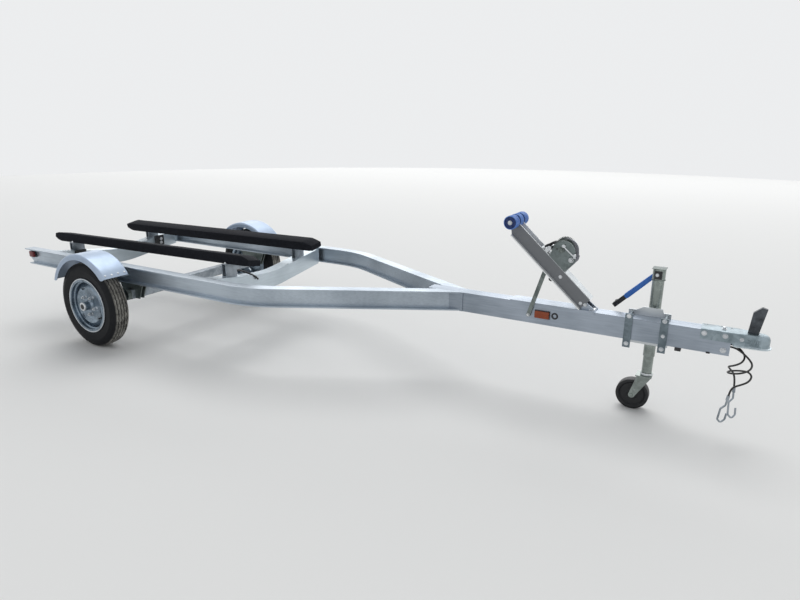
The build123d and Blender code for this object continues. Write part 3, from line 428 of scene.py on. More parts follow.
# Tongue mouldings. The wiring grommet's ring in the wall ahead of the marker and two wiring clips under
# the beam, in black plastic, all pushed in by hand.
def spun(bm, profile, place, steps=48):
    """A turned shape from radius and height pairs, closed on the axis or on itself."""
    ring = [bm.verts.new(place @ Vector((r, 0, h))) for r, h in profile]
    edges = [bm.edges.new(pair) for pair in zip(ring, ring[1:])]
    if profile[0][0] > 0.00001 and profile[-1][0] > 0.00001:
        edges.append(bm.edges.new((ring[-1], ring[0])))
    axis = place.to_3x3() @ Vector((0, 0, 1))
    bmesh.ops.spin(
        bm, geom=ring + edges, cent=place.translation, axis=axis, angle=math.tau, steps=steps, use_merge=True
    )
    bmesh.ops.remove_doubles(bm, verts=bm.verts, dist=0.00002)
    bmesh.ops.recalc_face_normals(bm, faces=bm.faces)


def add_block(bm, low, high, soft=0.0, place=None):
    """A block between two corners on a placing, its edges rounded over by soft."""
    size = [b - a for a, b in zip(low, high)]
    middle = [(a + b) / 2 for a, b in zip(low, high)]
    spot = (place or Matrix()) @ Matrix.Translation(middle) @ Matrix.Diagonal((*size, 1))
    made = bmesh.ops.create_cube(bm, size=1, matrix=spot)
    if soft:
        edges = {e for v in made["verts"] for e in v.link_edges}
        bmesh.ops.bevel(
            bm, geom=list(edges), offset=soft, segments=3, profile=0.5, affect="EDGES", material=-1
        )


bm = bmesh.new()
spun(bm, [(0.009, 0), (0.0155, 0), (0.0165, 0.0015), (0.0155, 0.0032), (0.0105, 0.0036), (0.009, 0.0025)],
     facing((1.3257, -0.0381, 0.4405), RIGHT))
add_block(bm, (1.866, -0.040, 0.371), (1.892, -0.008, 0.3878), 0.002)
add_block(bm, (1.990, -0.0405, 0.384), (2.006, -0.012, 0.392), 0.0015)
piece = link_mesh("tongue_grommet_and_clips", bm, black_paint)
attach(piece, "frame")

# Tyres. Moulded black rubber with four grooves that zigzag slightly, rounded shoulders and a plain
# side, seated on the rims; the tread is brown-grey with road dust.
WHEEL_Z = 0.262
WHEEL_Y = 0.684
TYRE_STEPS = 216
ZIGZAG_STEPS = 4
ZIGZAG = 0.0020
ZIGZAG_HALF = 0.034
GROOVE_DEPTH = 0.006
GROOVE_HALF = 0.0026
GROOVES = (-0.0275, -0.0092, 0.0092, 0.0275)
# radius, and how far out from the middle plane
TYRE_SIDE = [
    (0.1535, 0.0500), (0.1690, 0.0520), (0.1735, 0.0532), (0.1765, 0.0538), (0.1790, 0.0543),
    (0.2000, 0.0570), (0.2130, 0.0575), (0.2170, 0.0584), (0.2200, 0.0574), (0.2300, 0.0545),
    (0.2390, 0.0508), (0.2460, 0.0474), (0.2515, 0.0446), (0.2560, 0.0414), (0.2583, 0.0385),
]
TREAD_TOP = 0.2585
TREAD_CROWN = 0.0030
TREAD_HALF = 0.039

TREAD_DUST_FROM = 0.2530
TREAD_DUST_TO = 0.2590


def from_axle(tree, at):
    """How far a place is from a wheel's or a roller's axle line, for a material."""
    place = add_node(tree, "ShaderNodeTexCoord")
    centre = add_node(tree, "ShaderNodeMapping")
    centre.inputs["Location"].default_value = (-at[0], 0, -at[2])
    flat = add_node(tree, "ShaderNodeVectorMath", operation="MULTIPLY")
    flat.inputs[1].default_value = (1, 0, 1)
    radius = add_node(tree, "ShaderNodeVectorMath", operation="LENGTH")
    tree.links.new(place.outputs["Object"], centre.inputs["Vector"])
    tree.links.new(centre.outputs["Vector"], flat.inputs[0])
    tree.links.new(flat.outputs["Vector"], radius.inputs[0])
    return radius.outputs["Value"]


tyre_rubber, tyre_tree, tyre_shader = new_material("tyre_rubber")
tyre_place = add_node(tyre_tree, "ShaderNodeTexCoord")
tyre_tread = add_node(tyre_tree, "ShaderNodeMapRange")
tyre_tread.inputs["From Min"].default_value = TREAD_DUST_FROM
tyre_tread.inputs["From Max"].default_value = TREAD_DUST_TO
tyre_dust = add_node(tyre_tree, "ShaderNodeTexNoise", Scale=26.0, Detail=7.0, Roughness=0.7)
tyre_dusty = add_node(tyre_tree, "ShaderNodeMapRange")
tyre_dusty.inputs["From Min"].default_value = 0.30
tyre_dusty.inputs["From Max"].default_value = 0.60
tyre_worn = add_node(tyre_tree, "ShaderNodeMath", operation="MULTIPLY")
tyre_colour = add_node(tyre_tree, "ShaderNodeMix", data_type="RGBA")
tyre_colour.inputs["B"].default_value = (0.30, 0.29, 0.265, 1)
tyre_side_noise = add_node(tyre_tree, "ShaderNodeValToRGB")
tyre_side_noise.color_ramp.elements[0].position = 0.40
tyre_side_noise.color_ramp.elements[0].color = (0.004, 0.005, 0.007, 1)
tyre_side_noise.color_ramp.elements[1].position = 0.75
tyre_side_noise.color_ramp.elements[1].color = (0.011, 0.012, 0.014, 1)
tyre_grain = add_node(tyre_tree, "ShaderNodeTexNoise", Scale=420.0, Detail=2.0)
tyre_relief = add_node(tyre_tree, "ShaderNodeBump", Strength=0.35, Distance=0.0006)
tyre_shader.inputs["Roughness"].default_value = 0.62
tyre_shader.inputs["Specular IOR Level"].default_value = 0.22
links = tyre_tree.links
links.new(from_axle(tyre_tree, (AXLE_AT, 0, WHEEL_Z)), tyre_tread.inputs["Value"])
links.new(tyre_place.outputs["Object"], tyre_dust.inputs["Vector"])
links.new(tyre_place.outputs["Object"], tyre_grain.inputs["Vector"])
links.new(tyre_dust.outputs["Fac"], tyre_dusty.inputs["Value"])
links.new(tyre_dusty.outputs["Result"], tyre_worn.inputs[0])
links.new(tyre_tread.outputs["Result"], tyre_worn.inputs[1])
links.new(tyre_worn.outputs[0], tyre_colour.inputs["Factor"])
links.new(tyre_dust.outputs["Fac"], tyre_side_noise.inputs["Fac"])
links.new(tyre_side_noise.outputs["Color"], tyre_colour.inputs["A"])
links.new(tyre_colour.outputs["Result"], tyre_shader.inputs["Base Color"])
links.new(tyre_grain.outputs["Fac"], tyre_relief.inputs["Height"])
links.new(tyre_relief.outputs["Normal"], tyre_shader.inputs["Normal"])


def tread_points():
    """The tread's section from its outer shoulder to its inner one, as distance out and radius."""
    points = []
    for middle in GROOVES:
        for offset, depth in ((-1.4, 0), (-1, GROOVE_DEPTH), (1, GROOVE_DEPTH), (1.4, 0)):
            y = middle + offset * GROOVE_HALF
            points.append((y, TREAD_TOP + TREAD_CROWN * (1 - (y / TREAD_HALF) ** 2) - depth))
    return points


for side, sign in (("right", -1), ("left", 1)):
    section = [(-y, r) for r, y in TYRE_SIDE] + tread_points() + [(y, r) for r, y in reversed(TYRE_SIDE)]
    bm = bmesh.new()
    ring = [bm.verts.new((AXLE_AT, sign * WHEEL_Y + y, WHEEL_Z + r)) for y, r in section]
    edges = [bm.edges.new((a, b)) for a, b in zip(ring, ring[1:])]
    edges.append(bm.edges.new((ring[-1], ring[0])))
    bmesh.ops.spin(
        bm, geom=ring + edges, cent=(AXLE_AT, sign * WHEEL_Y, WHEEL_Z), axis=(0, 1, 0),
        angle=math.tau, steps=TYRE_STEPS, use_merge=True,
    )
    bmesh.ops.remove_doubles(bm, verts=bm.verts, dist=0.00005)
    for v in bm.verts:
        out = v.co.y - sign * WHEEL_Y
        if abs(out) < ZIGZAG_HALF:
            turn = math.atan2(v.co.z - WHEEL_Z, v.co.x - AXLE_AT) / math.tau * TYRE_STEPS / ZIGZAG_STEPS
            v.co.y += ZIGZAG * (4 * abs(turn % 1 - 0.5) - 1)
    bmesh.ops.recalc_face_normals(bm, faces=bm.faces)
    piece = link_mesh("treaded_tyre_" + side, bm, tyre_rubber)
    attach(piece, "wheel_" + side)
    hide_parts("tyre_" + side)

# Wheel fittings. The rim's rolled edge, in bright zinc as a painted highlight, five zinc-plated lug nuts
# on their studs, the pressed rim of the bearing cap with its black rubber plug, and the tyre's valve, all
# on the outboard side.
NUT_RING = 0.05715
NUTS = 5
NUT_FROM = math.radians(130)
DISC_OUT = 0.0325
VALVE_OUT = 0.034
for side, sign in (("right", -1), ("left", 1)):
    out = Vector((0, sign, 0))
    hub = Vector((AXLE_AT, sign * WHEEL_Y, WHEEL_Z))
    bm = bmesh.new()
    lip = [
        (0.1645 + 0.0036 * math.cos(a), 0.0550 + 0.0030 * math.sin(a))
        for a in (math.tau * k / 10 for k in range(10))
    ]
    spun(bm, lip, facing(hub, out), 128)
    # The rim's edge takes the bright zinc rather than the rim's own, as a painted highlight.
    piece = link_mesh("rim_rolled_edge_highlight_" + side, bm, zinc_bright)
    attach(piece, "wheel_" + side)

    bm = bmesh.new()
    for k in range(NUTS):
        a = NUT_FROM + math.tau * k / NUTS
        at = hub + Vector((NUT_RING * math.cos(a), 0, NUT_RING * math.sin(a))) + out * (DISC_OUT - 0.001)
        place = facing(at, out)
        add_cone(bm, place, 0, 0.006, 0.0125, 0.0100, 24)
        add_cone(bm, place, 0.006, 0.019, 0.0112, 0.0105, 6)
        add_cone(bm, place, 0.019, 0.027, 0.0060, 0.0050, 16)
    spun(bm, [(0.0262, 0.0750), (0.0268, 0.0765), (0.0268, 0.0800), (0.0255, 0.0835), (0.0235, 0.0845),
              (0.0165, 0.0845), (0.0160, 0.0820), (0.0240, 0.0780)], facing(hub, out))
    piece = link_mesh("lug_nuts_and_cap_" + side, bm, zinc_bright)
    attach(piece, "wheel_" + side)

    bm = bmesh.new()
    spun(bm, [(0, 0.0838), (0.0162, 0.0838), (0.0162, 0.0852), (0.0140, 0.0866), (0.0060, 0.0872),
              (0, 0.0872)], facing(hub, out))
    valve = hub + Vector((0.112, 0, -0.062)) + out * VALVE_OUT
    spun(bm, [(0, 0), (0.0058, 0), (0.0050, 0.010), (0.0036, 0.013), (0.0036, 0.024), (0.0042, 0.025),
              (0.0042, 0.031), (0, 0.0325)], facing(valve, out), 20)
    piece = link_mesh("cap_plug_and_valve_" + side, bm, black_paint)
    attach(piece, "wheel_" + side)

# Fenders. Pressed from one sheet of aluminium with a rolled shoulder, a satin pale blue-white skin,
# held by small dome-headed rivets along both ends.
FENDER_Z = 0.295
FENDER_R = 0.286
FENDER_IN = 0.590
RIVET_ANGLES = (math.radians(39), math.radians(155))
RIVET_ACROSS = (0.024, 0.066, 0.108, 0.150)
RIVET_DOME = [(0, 0), (0.0062, 0), (0.0058, 0.0014), (0.0040, 0.0028), (0, 0.0034)]
fender_skin = streaked_metal(
    "fender_aluminium", (0.42, 0.51, 0.64), (0.34, 0.42, 0.54), (0.30, 0.42), 0.55, (4.0, 4.0, 4.0), 5.0
)
dress(fender_skin, "fender_aluminium", "fender_right", "fender_left")
for side, sign in (("right", -1), ("left", 1)):
    bm = bmesh.new()
    for angle in RIVET_ANGLES:
        up = Vector((math.cos(angle), 0, math.sin(angle)))
        for across in RIVET_ACROSS:
            at = Vector((AXLE_AT, sign * (FENDER_IN + across), FENDER_Z)) + up * (FENDER_R - 0.0003)
            spun(bm, RIVET_DOME, facing(at, up), 16)
    piece = link_mesh("fender_rivets_" + side, bm, zinc_bright)
    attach(piece, "frame")

# Bunks. Pine boards wrapped in black marine carpet, their long edges bevelled, the carpet pulled tight
# over the ends, lapped underneath and stapled there.
BUNK_AT = (-1.2925, 0.237, 0.56545)
BUNK_TILT = math.radians(10.4)
BUNK_RISE = -math.atan(0.0155)
BUNK_HALF = 0.929
BUNK_WIDE = 0.099
BUNK_BEVEL = 0.006
BUNK_STEPS = 60
STAPLES = 17
STAPLE_GAP = 0.10
STAPLE_LONG = 0.011


def add_skin(bm, rings, wrap=True):
    """Joins rings of vertices into a skin with capped ends; with wrap each ring closes on itself."""
    for a, b in zip(rings, rings[1:]):
        for j in range(0 if wrap else 1, len(a)):
            bm.faces.new((a[j], a[j - 1], b[j - 1], b[j]))
    bm.faces.new(rings[0])
    bm.faces.new(rings[-1])
    bmesh.ops.recalc_face_normals(bm, faces=bm.faces)


carpet = moulded("bunk_carpet", (0.006, 0.007, 0.011), (0.016, 0.018, 0.024), (0.85, 1.0), 60.0, 0.0025)
carpet.node_tree.nodes["Principled BSDF"].inputs["Specular IOR Level"].default_value = 0.25
for side, sign in (("right", -1), ("left", 1)):
    place = (
        Matrix.Translation((BUNK_AT[0], sign * BUNK_AT[1], BUNK_AT[2]))
        @ Matrix.Rotation(sign * BUNK_TILT, 4, "X")
        @ Matrix.Rotation(BUNK_RISE, 4, "Y")
    )
    bm = bmesh.new()
    rings = []
    for k in range(BUNK_STEPS + 1):
        along = -BUNK_HALF + 2 * BUNK_HALF * k / BUNK_STEPS
        to_rear = along + BUNK_HALF
        to_front = BUNK_HALF - along
        top = -0.022 * max(0.0, 1 - to_front / 0.056) - 0.006 * max(0.0, 1 - to_rear / 0.012)
        bottom = -0.059 + 0.022 * max(0.0, 1 - to_rear / 0.045) + 0.004 * max(0.0, 1 - to_front / 0.008)
        wave = 0.0012 * noise.noise(Vector((along * 9, sign, 0)))
        section = []
        for y, edge in ((0, sign * BUNK_BEVEL), (sign * BUNK_WIDE, -sign * BUNK_BEVEL)):
            section.append([
                (y + edge, top + wave),
                (y + edge * 0.3, top - BUNK_BEVEL * 0.3 + wave),
                (y, top - BUNK_BEVEL),
                (y, bottom + BUNK_BEVEL),
                (y + edge * 0.3, bottom + BUNK_BEVEL * 0.3),
                (y + edge, bottom),
            ])
        outline = section[0] + section[1][::-1]
        rings.append([bm.verts.new(place @ Vector((along, y, z))) for y, z in outline])
    add_skin(bm, rings)
    lap = sign * BUNK_WIDE
    lap_low, lap_high = sorted((lap * 0.12, lap * 0.34))
    add_block(bm, (-0.86, lap_low, -0.0612), (0.90, lap_high, -0.0586), 0.0008, place)
    piece = link_mesh("carpeted_bunk_" + side, bm, carpet)
    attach(piece, "frame")
    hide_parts("bunk_" + side)

    bm = bmesh.new()
    staple_y = lap * 0.28
    for k in range(STAPLES):
        rear = -0.80 + k * STAPLE_GAP
        low = (rear, staple_y - 0.0006, -0.0624)
        high = (rear + STAPLE_LONG, staple_y + 0.0006, -0.0608)
        add_block(bm, low, high, 0, place)
    piece = link_mesh("carpet_staples_" + side, bm, zinc_bright, smooth=False)
    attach(piece, "frame")

# Wiring loom. A ribbed black plastic conduit that comes up behind the front crossmember, lies over its
# top right of the middle and hangs down in front of it.
def add_tube(bm, spots, radii, sides=12):
    """A closed round tube along some places, with a radius at each of them."""
    rings = []
    for k, (spot, radius) in enumerate(zip(spots, radii)):
        ahead = (spots[min(k + 1, len(spots) - 1)] - spots[max(k - 1, 0)]).normalized()
        turn = facing(spot, ahead)
        rings.append([
            bm.verts.new(turn @ Vector((radius * math.cos(a), radius * math.sin(a), 0)))
            for a in (math.tau * j / sides for j in range(sides))
        ])
        if k:
            near = min(range(sides), key=lambda j: (rings[-1][j].co - rings[-2][0].co).length)
            rings[-1] = rings[-1][near:] + rings[-1][:near]
    add_skin(bm, rings)


LOOM_R = 0.0062
LOOM_GROOVE_R = 0.0050
route = [Vector(p) for p in (
    (-0.660, -0.150, 0.424), (-0.640, -0.160, 0.446), (-0.612, -0.171, 0.4560), (-0.580, -0.181, 0.4562),
    (-0.550, -0.188, 0.4555), (-0.530, -0.176, 0.4470), (-0.5150, -0.158, 0.4340), (-0.5040, -0.139, 0.4180),
    (-0.5000, -0.124, 0.4000),
)]
spots = [a.lerp(b, k / 8) for a, b in zip(route, route[1:]) for k in range(8)]
bm = bmesh.new()
add_tube(bm, spots, [LOOM_R if k % 2 else LOOM_GROOVE_R for k in range(len(spots))])
piece = link_mesh("wiring_loom", bm, black_paint)
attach(piece, "frame")

# Post foot. Small zinc hex bolts through both of the post's walls where it stands on the saddle, and
# the bright steel shim in front of it.
POST_TOP = (1.0835, 0.814)
POST_ANGLE = math.radians(42.1)
POST_BOLT_Y = 0.0318
LEFT = (0, 1, 0)


def on_post(along, out, y):
    """A place given down the post from its top and out from its rear face."""
    c, s = math.cos(POST_ANGLE), math.sin(POST_ANGLE)
    return Vector((POST_TOP[0] + along * c + out * s, y, POST_TOP[1] + out * c - along * s))


bm = bmesh.new()
for along, out, size in ((0.460, 0.0224, 0.0055), (0.4796, 0.0333, 0.0060)):
    add_bolt(bm, on_post(along, out, -POST_BOLT_Y), RIGHT, size)
    add_bolt(bm, on_post(along, out, POST_BOLT_Y), LEFT, size)
add_block(bm, (1.4800, -0.0300, 0.4941), (1.5060, 0.0300, 0.4975), 0.0008)
piece = link_mesh("post_bolts", bm, zinc_bright)
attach(piece, "frame")

# Bow rollers. Turned blue plastic with raised ribs, two broad rollers outside the post's ears and a
# narrower one between them; six spokes run round each boss, and a bolt with a washer holds each end.
ROLLER_AT = Vector((1.09255, 0, 0.88130))
ROLLER_R = 0.033
ROLLER_END = 0.0900
HUB_PAINTED_SHADE = (0.012, 0.040, 0.175, 1)
HUB_EDGE = 0.0284
RIM_EDGE = 0.0300
SPOKES = 6
blue = moulded("blue_roller_plastic", (0.085, 0.21, 0.60), (0.18, 0.36, 0.80), (0.34, 0.55), 24.0, 0.0005)
blue_tree = blue.node_tree
# The recessed hubs at the rollers' ends are painted dark navy as painted shade out to HUB_EDGE, fading into
# the blue by RIM_EDGE.
hub_shade_fade = add_node(blue_tree, "ShaderNodeMapRange")
hub_shade_fade.inputs["From Min"].default_value = HUB_EDGE
hub_shade_fade.inputs["From Max"].default_value = RIM_EDGE
blue_colour = add_node(blue_tree, "ShaderNodeMix", data_type="RGBA")
blue_colour.inputs["A"].default_value = HUB_PAINTED_SHADE
blue_shader = blue_tree.nodes["Principled BSDF"]
blue_ground = blue_shader.inputs["Base Color"].links[0].from_socket
blue_tree.links.new(from_axle(blue_tree, ROLLER_AT), hub_shade_fade.inputs["Value"])
blue_tree.links.new(hub_shade_fade.outputs["Result"], blue_colour.inputs["Factor"])
blue_tree.links.new(blue_ground, blue_colour.inputs["B"])
blue_tree.links.new(blue_colour.outputs["Result"], blue_shader.inputs["Base Color"])
for name, low_y, high_y, ribs in (
    ("right", -ROLLER_END, -0.03775, 7), ("centre", -0.02075, 0.02075, 5), ("left", 0.03775, ROLLER_END, 7)
):
    bm = bmesh.new()
    wide = high_y - low_y
    place = facing(ROLLER_AT + Vector((0, low_y, 0)), LEFT)
    profile = [(0.0082, 0.0025), (0.016, 0.0025), (0.018, 0.0045), (0.027, 0.0045), (0.0285, 0)]
    for k in range(ribs):
        a = 0.0015 + (wide - 0.003) * k / ribs
        b = 0.0015 + (wide - 0.003) * (k + 0.62) / ribs
        c = 0.0015 + (wide - 0.003) * (k + 1) / ribs
        profile += [
            (ROLLER_R - 0.0008, a), (ROLLER_R, a + 0.0008), (ROLLER_R, b - 0.0008), (ROLLER_R - 0.0008, b)
        ]
        if k < ribs - 1:
            profile += [(ROLLER_R - 0.0026, b + 0.0005), (ROLLER_R - 0.0026, c - 0.0005)]
    profile += [(0.0285, wide), (0.027, wide - 0.0045), (0.018, wide - 0.0045), (0.016, wide - 0.0025),
                (0.0082, wide - 0.0025)]
    spun(bm, profile, place, 72)
    for k in range(SPOKES):
        spoke = place @ Matrix.Rotation(math.tau * k / SPOKES, 4, "Z")
        for depth in (0.0005, wide - 0.0050):
            add_block(bm, (0.015, -0.0014, depth), (0.0285, 0.0014, depth + 0.0045), 0, spoke)
    piece = link_mesh("ribbed_bow_roller_" + name, bm, blue)
    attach(piece, "bow_roller")
    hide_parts("bow_roller_" + name)

bm = bmesh.new()
for sign in (-1, 1):
    add_bolt(bm, ROLLER_AT + Vector((0, sign * ROLLER_END, 0)), (0, sign, 0), 0.0078)
piece = link_mesh("roller_bolts", bm, zinc_bright)
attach(piece, "bow_roller")

# Winch drum. A steel drum between pressed flanges on its shaft, with its toothed gear outside the left
# plate and black webbing wound on it in five turns.
DRUM_AT = Vector((1.33159, 0, 0.76639))
GEAR_Y = (0.0418, 0.0477)
GEAR_R = 0.0520
GEAR_TEETH = 42
TOOTH_DEEP = 0.0045
WEBBING_HALF = 0.0232
WEBBING_THICK = 0.0024
WEBBING_PITCH = 0.0028
WEBBING_FROM_R = 0.0160
WEBBING_TURNS = 5
WEBBING_STEPS = 180


def add_gear(bm, at, radius, teeth):
    """A spur gear with square-topped teeth, turning about Y outside the winch's left plate."""
    root = radius - TOOTH_DEEP
    outline = []
    for k in range(teeth):
        for part, r in ((0.00, root), (0.22, root), (0.32, radius), (0.62, radius), (0.74, root)):
            a = math.tau * (k + part) / teeth
            outline.append((at[0] + r * math.cos(a), at[2] + r * math.sin(a)))
    add_skin(bm, [[bm.verts.new((x, y, z)) for x, z in outline] for y in GEAR_Y])


bm = bmesh.new()
spun(bm, [(0, -0.0480), (0.0075, -0.0480), (0.0080, -0.0475), (0.0080, -0.0258), (0.0440, -0.0258),
          (0.0440, -0.0238), (0.0160, -0.0238), (0.0160, 0.0238), (0.0440, 0.0238), (0.0440, 0.0258),
          (0.0080, 0.0258), (0.0080, 0.0525), (0, 0.0525)], facing(DRUM_AT, LEFT), 64)
add_gear(bm, DRUM_AT, GEAR_R, GEAR_TEETH)
add_bolt(bm, DRUM_AT + Vector((0, -0.0400, 0)), RIGHT, 0.0095)
piece = link_mesh("winch_drum_and_gear", bm, zinc_dark)
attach(piece, "winch_drum")
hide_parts("winch_drum")

webbing = moulded("black_webbing", (0.010, 0.010, 0.012), (0.030, 0.030, 0.031), (0.8, 0.95), 80.0, 0.001)
bm = bmesh.new()
rings = []
for k in range(WEBBING_STEPS + 1):
    turned = WEBBING_TURNS * k / WEBBING_STEPS
    a = math.tau * turned
    inner = WEBBING_FROM_R + WEBBING_PITCH * turned
    outer = inner + WEBBING_THICK
    rings.append([
        bm.verts.new((DRUM_AT.x + r * math.cos(a), way * WEBBING_HALF, DRUM_AT.z + r * math.sin(a)))
        for r, way in ((inner, -1), (outer, -1), (outer, 1), (inner, 1))
    ])
add_skin(bm, rings)
piece = link_mesh("webbing_roll", bm, webbing)
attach(piece, "winch_drum")
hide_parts("winch_drum")

# Winch fittings. The zinc-plated pawl on its rod, the nuts, the round spacer on two tabs that guides the
# strap, the plates' holes as black discs of painted shade, the strap's free end from the drum down to the
# post, and the toothed pinion.
PINION_AT = Vector((1.37982, 0, 0.72281))
PINION_R = 0.0125
PINION_TEETH = 10
PLATE_Y = 0.0358
PAWL_Y = -0.0395
STRAP_HALF = 0.0225
STRAP_HALF_THICK = 0.0050
SPACER_ALONG = 0.1708
bm = bmesh.new()
rod_foot = on_post(0.211, 0.1503, PAWL_Y)
rod = on_post(0.2806, 0.1529, PAWL_Y) - rod_foot
add_cone(bm, facing(rod_foot, rod.normalized()), 0, rod.length, 0.0035, 0.0035, 16)
add_bolt(bm, rod_foot + Vector((0, 0.0040, 0)), RIGHT, 0.0065)
lever = facing(on_post(0.2803, 0.1555, PAWL_Y), RIGHT)
add_block(bm, (-0.006, -0.010, -0.0035), (0.006, 0.012, 0.0035), 0.002, lever)
add_bolt(bm, PINION_AT + Vector((0, -PLATE_Y, 0)), RIGHT, 0.0085)
spun(bm, [(0, -0.0310), (0.0105, -0.0310), (0.0115, -0.0300), (0.0115, 0.0300), (0.0105, 0.0310),
          (0, 0.0310)], facing(on_post(SPACER_ALONG, 0.0900, 0), LEFT), 32)
tab = facing(on_post(SPACER_ALONG, 0.0690, 0), on_post(0, 1, 0) - on_post(0, 0, 0))
for y in (-0.0305, 0.0265):
    add_block(bm, (-0.0080, y, 0.0002), (0.0080, y + 0.0040, 0.0230), 0, tab)
piece = link_mesh("winch_pawl_and_nuts", bm, zinc_bright)
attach(piece, "frame")

# Thin black discs on both plates, painted shade where the holes are.
bm = bmesh.new()
for sign in (-1, 1):
    for along, out in ((0.2096, 0.1596), (0.1983, 0.1188)):
        spun(bm, [(0, 0), (0.0036, 0), (0.0036, 0.0005), (0, 0.0005)],
             facing(on_post(along, out, sign * PLATE_Y), (0, sign, 0)), 16)
piece = link_mesh("winch_plate_hole_shade", bm, black_paint)
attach(piece, "frame")

bm = bmesh.new()
path = [on_post(along, out, 0) for along, out in (
    (0.1500, 0.0790), (0.1560, 0.0930), (0.1600, 0.1080), (0.1640, 0.1180), (0.1760, 0.1330), (0.1890, 0.1420)
)]
rings = []
for k, spot in enumerate(path):
    ahead = (path[min(k + 1, len(path) - 1)] - path[max(k - 1, 0)]).normalized()
    out = Vector((-ahead.z, 0, ahead.x)) * STRAP_HALF_THICK
    rings.append([
        bm.verts.new(spot + way * out + Vector((0, y, 0)))
        for way, y in ((1, -STRAP_HALF), (1, STRAP_HALF), (-1, STRAP_HALF), (-1, -STRAP_HALF))
    ])
add_skin(bm, rings)
piece = link_mesh("strap_end", bm, webbing)
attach(piece, "frame")

bm = bmesh.new()
add_gear(bm, PINION_AT, PINION_R, PINION_TEETH)
piece = link_mesh("winch_pinion", bm, zinc_bright)
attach(piece, "winch_crank")

# Coupler. Galvanised steel sheet, square where it is bolted over the tongue's end and rounder towards
# its nose, with a rolled lip along its lower edge that is painted pale as a painted highlight, fluted
# sides and the ball's socket underneath.
UP = (0, 0, 1)
COUPLER_REAR = 1.9585
COUPLER_TAPER = 2.1025
COUPLER_TOP = 0.4935
COUPLER_HALF = 0.0421
COUPLER_SHEET = 0.0038
BALL_X = 2.1845
NOSE_R = 0.036
LIP = 0.0080
# how far out as a share of the lip, and how far up from the lower edge
LIP_ROLL = [
    (0, 0.0090), (-0.18, 0.0062), (-0.55, 0.0046), (-0.9, 0.0043), (-1, 0.0035), (-1, 0.0008), (-0.95, 0)
]
LAP_STEPS = 24
TAPER_STEPS = 12
NOSE_STEPS = 32
FLUTES = 6
FLUTE_FROM = 2.142
FLUTE_GAP = 0.0078
FLUTE_R = 0.0030
coupler_skin = galvanised("coupler_zinc", (0.34, 0.41, 0.45), (0.17, 0.215, 0.24), (0.26, 0.42))
# Below the lip's top the sheet is painted pale, a painted highlight.
tint_past(coupler_skin, "Z", 0.4425, 0.4415, (0.70, 0.78, 0.82), 0.8)


def grow(value, start, end):
    """Goes smoothly from 0 at the start to 1 at the end."""
    t = min(max((value - start) / (end - start), 0.0), 1.0)
    return t * t * (3 - 2 * t)


def bend(inset, drop, radius):
    """A quarter round from the top to the side, as inset and height pairs."""
    return [
        (inset + radius * (1 - math.sin(a)), COUPLER_TOP - drop - radius * (1 - math.cos(a)))
        for a in (math.radians(15 * k) for k in range(7))
    ]


def coupler_profile(x, reach):
    """The sheet's outline from the centreline out, down and back in, as inset and height pairs."""
    shoulder = 0.0035 + 0.0205 * grow(x, 2.095, 2.190)
    low = 0.4475 - 0.0120 * grow(x, 2.080, 2.090)
    lip = LIP * grow(x, 2.080, 2.092)
    inner = bend(COUPLER_SHEET, COUPLER_SHEET, max(shoulder - COUPLER_SHEET, 0.0005))
    return [
        (reach, COUPLER_TOP + 0.0015 * grow(x, 2.15, 2.19)), *bend(0, 0, shoulder),
        *((out * lip, low + up) for out, up in LIP_ROLL), (COUPLER_SHEET, low), *reversed(inner),
        (reach, COUPLER_TOP - COUPLER_SHEET),
    ]


# x, y, the way in to the centreline, and how far it is
right_side = []
for k in range(LAP_STEPS + 1):
    x = COUPLER_REAR + (COUPLER_TAPER - COUPLER_REAR) * k / LAP_STEPS
    right_side.append((x, -COUPLER_HALF, (0, 1), COUPLER_HALF))
for k in range(1, TAPER_STEPS + 1):
    x = COUPLER_TAPER + (BALL_X - COUPLER_TAPER) * k / TAPER_STEPS
    half = COUPLER_HALF + (NOSE_R - COUPLER_HALF) * k / TAPER_STEPS
    right_side.append((x, -half, (0, 1), half))
nose = []
for k in range(1, NOSE_STEPS):
    a = math.radians(-90 + 180 * k / NOSE_STEPS)
    c, q = math.cos(a), math.sin(a)
    nose.append((BALL_X + NOSE_R * c, NOSE_R * q, (-c, -q), NOSE_R))
left_side = [(x, -y, (0, -1), reach) for x, y, way, reach in reversed(right_side)]
bm = bmesh.new()
rings = [
    [bm.verts.new((x + way[0] * d, y + way[1] * d, z)) for d, z in coupler_profile(x, reach)]
    for x, y, way, reach in right_side + nose + left_side
]
add_skin(bm, rings, wrap=False)
bmesh.ops.remove_doubles(bm, verts=bm.verts, dist=0.00002)
bmesh.ops.recalc_face_normals(bm, faces=bm.faces)
spun(bm, [(0, 0.4892), (0.0200, 0.4870), (0.0300, 0.4700), (0.0316, 0.4475), (0.0316, 0.4345),
          (0.0306, 0.4335), (0.0256, 0.4335), (0.0254, 0.4600), (0.0220, 0.4727), (0.0127, 0.4820),
          (0, 0.4854)], facing(Vector((BALL_X, 0, 0)), UP), 48)
piece = link_mesh("coupler_shell_and_socket", bm, coupler_skin)
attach(piece, "frame")
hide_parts("coupler")

bm = bmesh.new()
for x, z, size in ((1.9734, 0.4745, 0.0078), (2.0543, 0.4745, 0.0078), (2.1164, 0.4700, 0.0060)):
    add_bolt(bm, Vector((x, -COUPLER_HALF, z)), RIGHT, size)
    add_bolt(bm, Vector((x, COUPLER_HALF, z)), LEFT, size)
add_bolt(bm, Vector((2.0460, 0.0, 0.4932)), UP, 0.0080)
piece = link_mesh("coupler_bolts", bm, zinc_bright)
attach(piece, "frame")

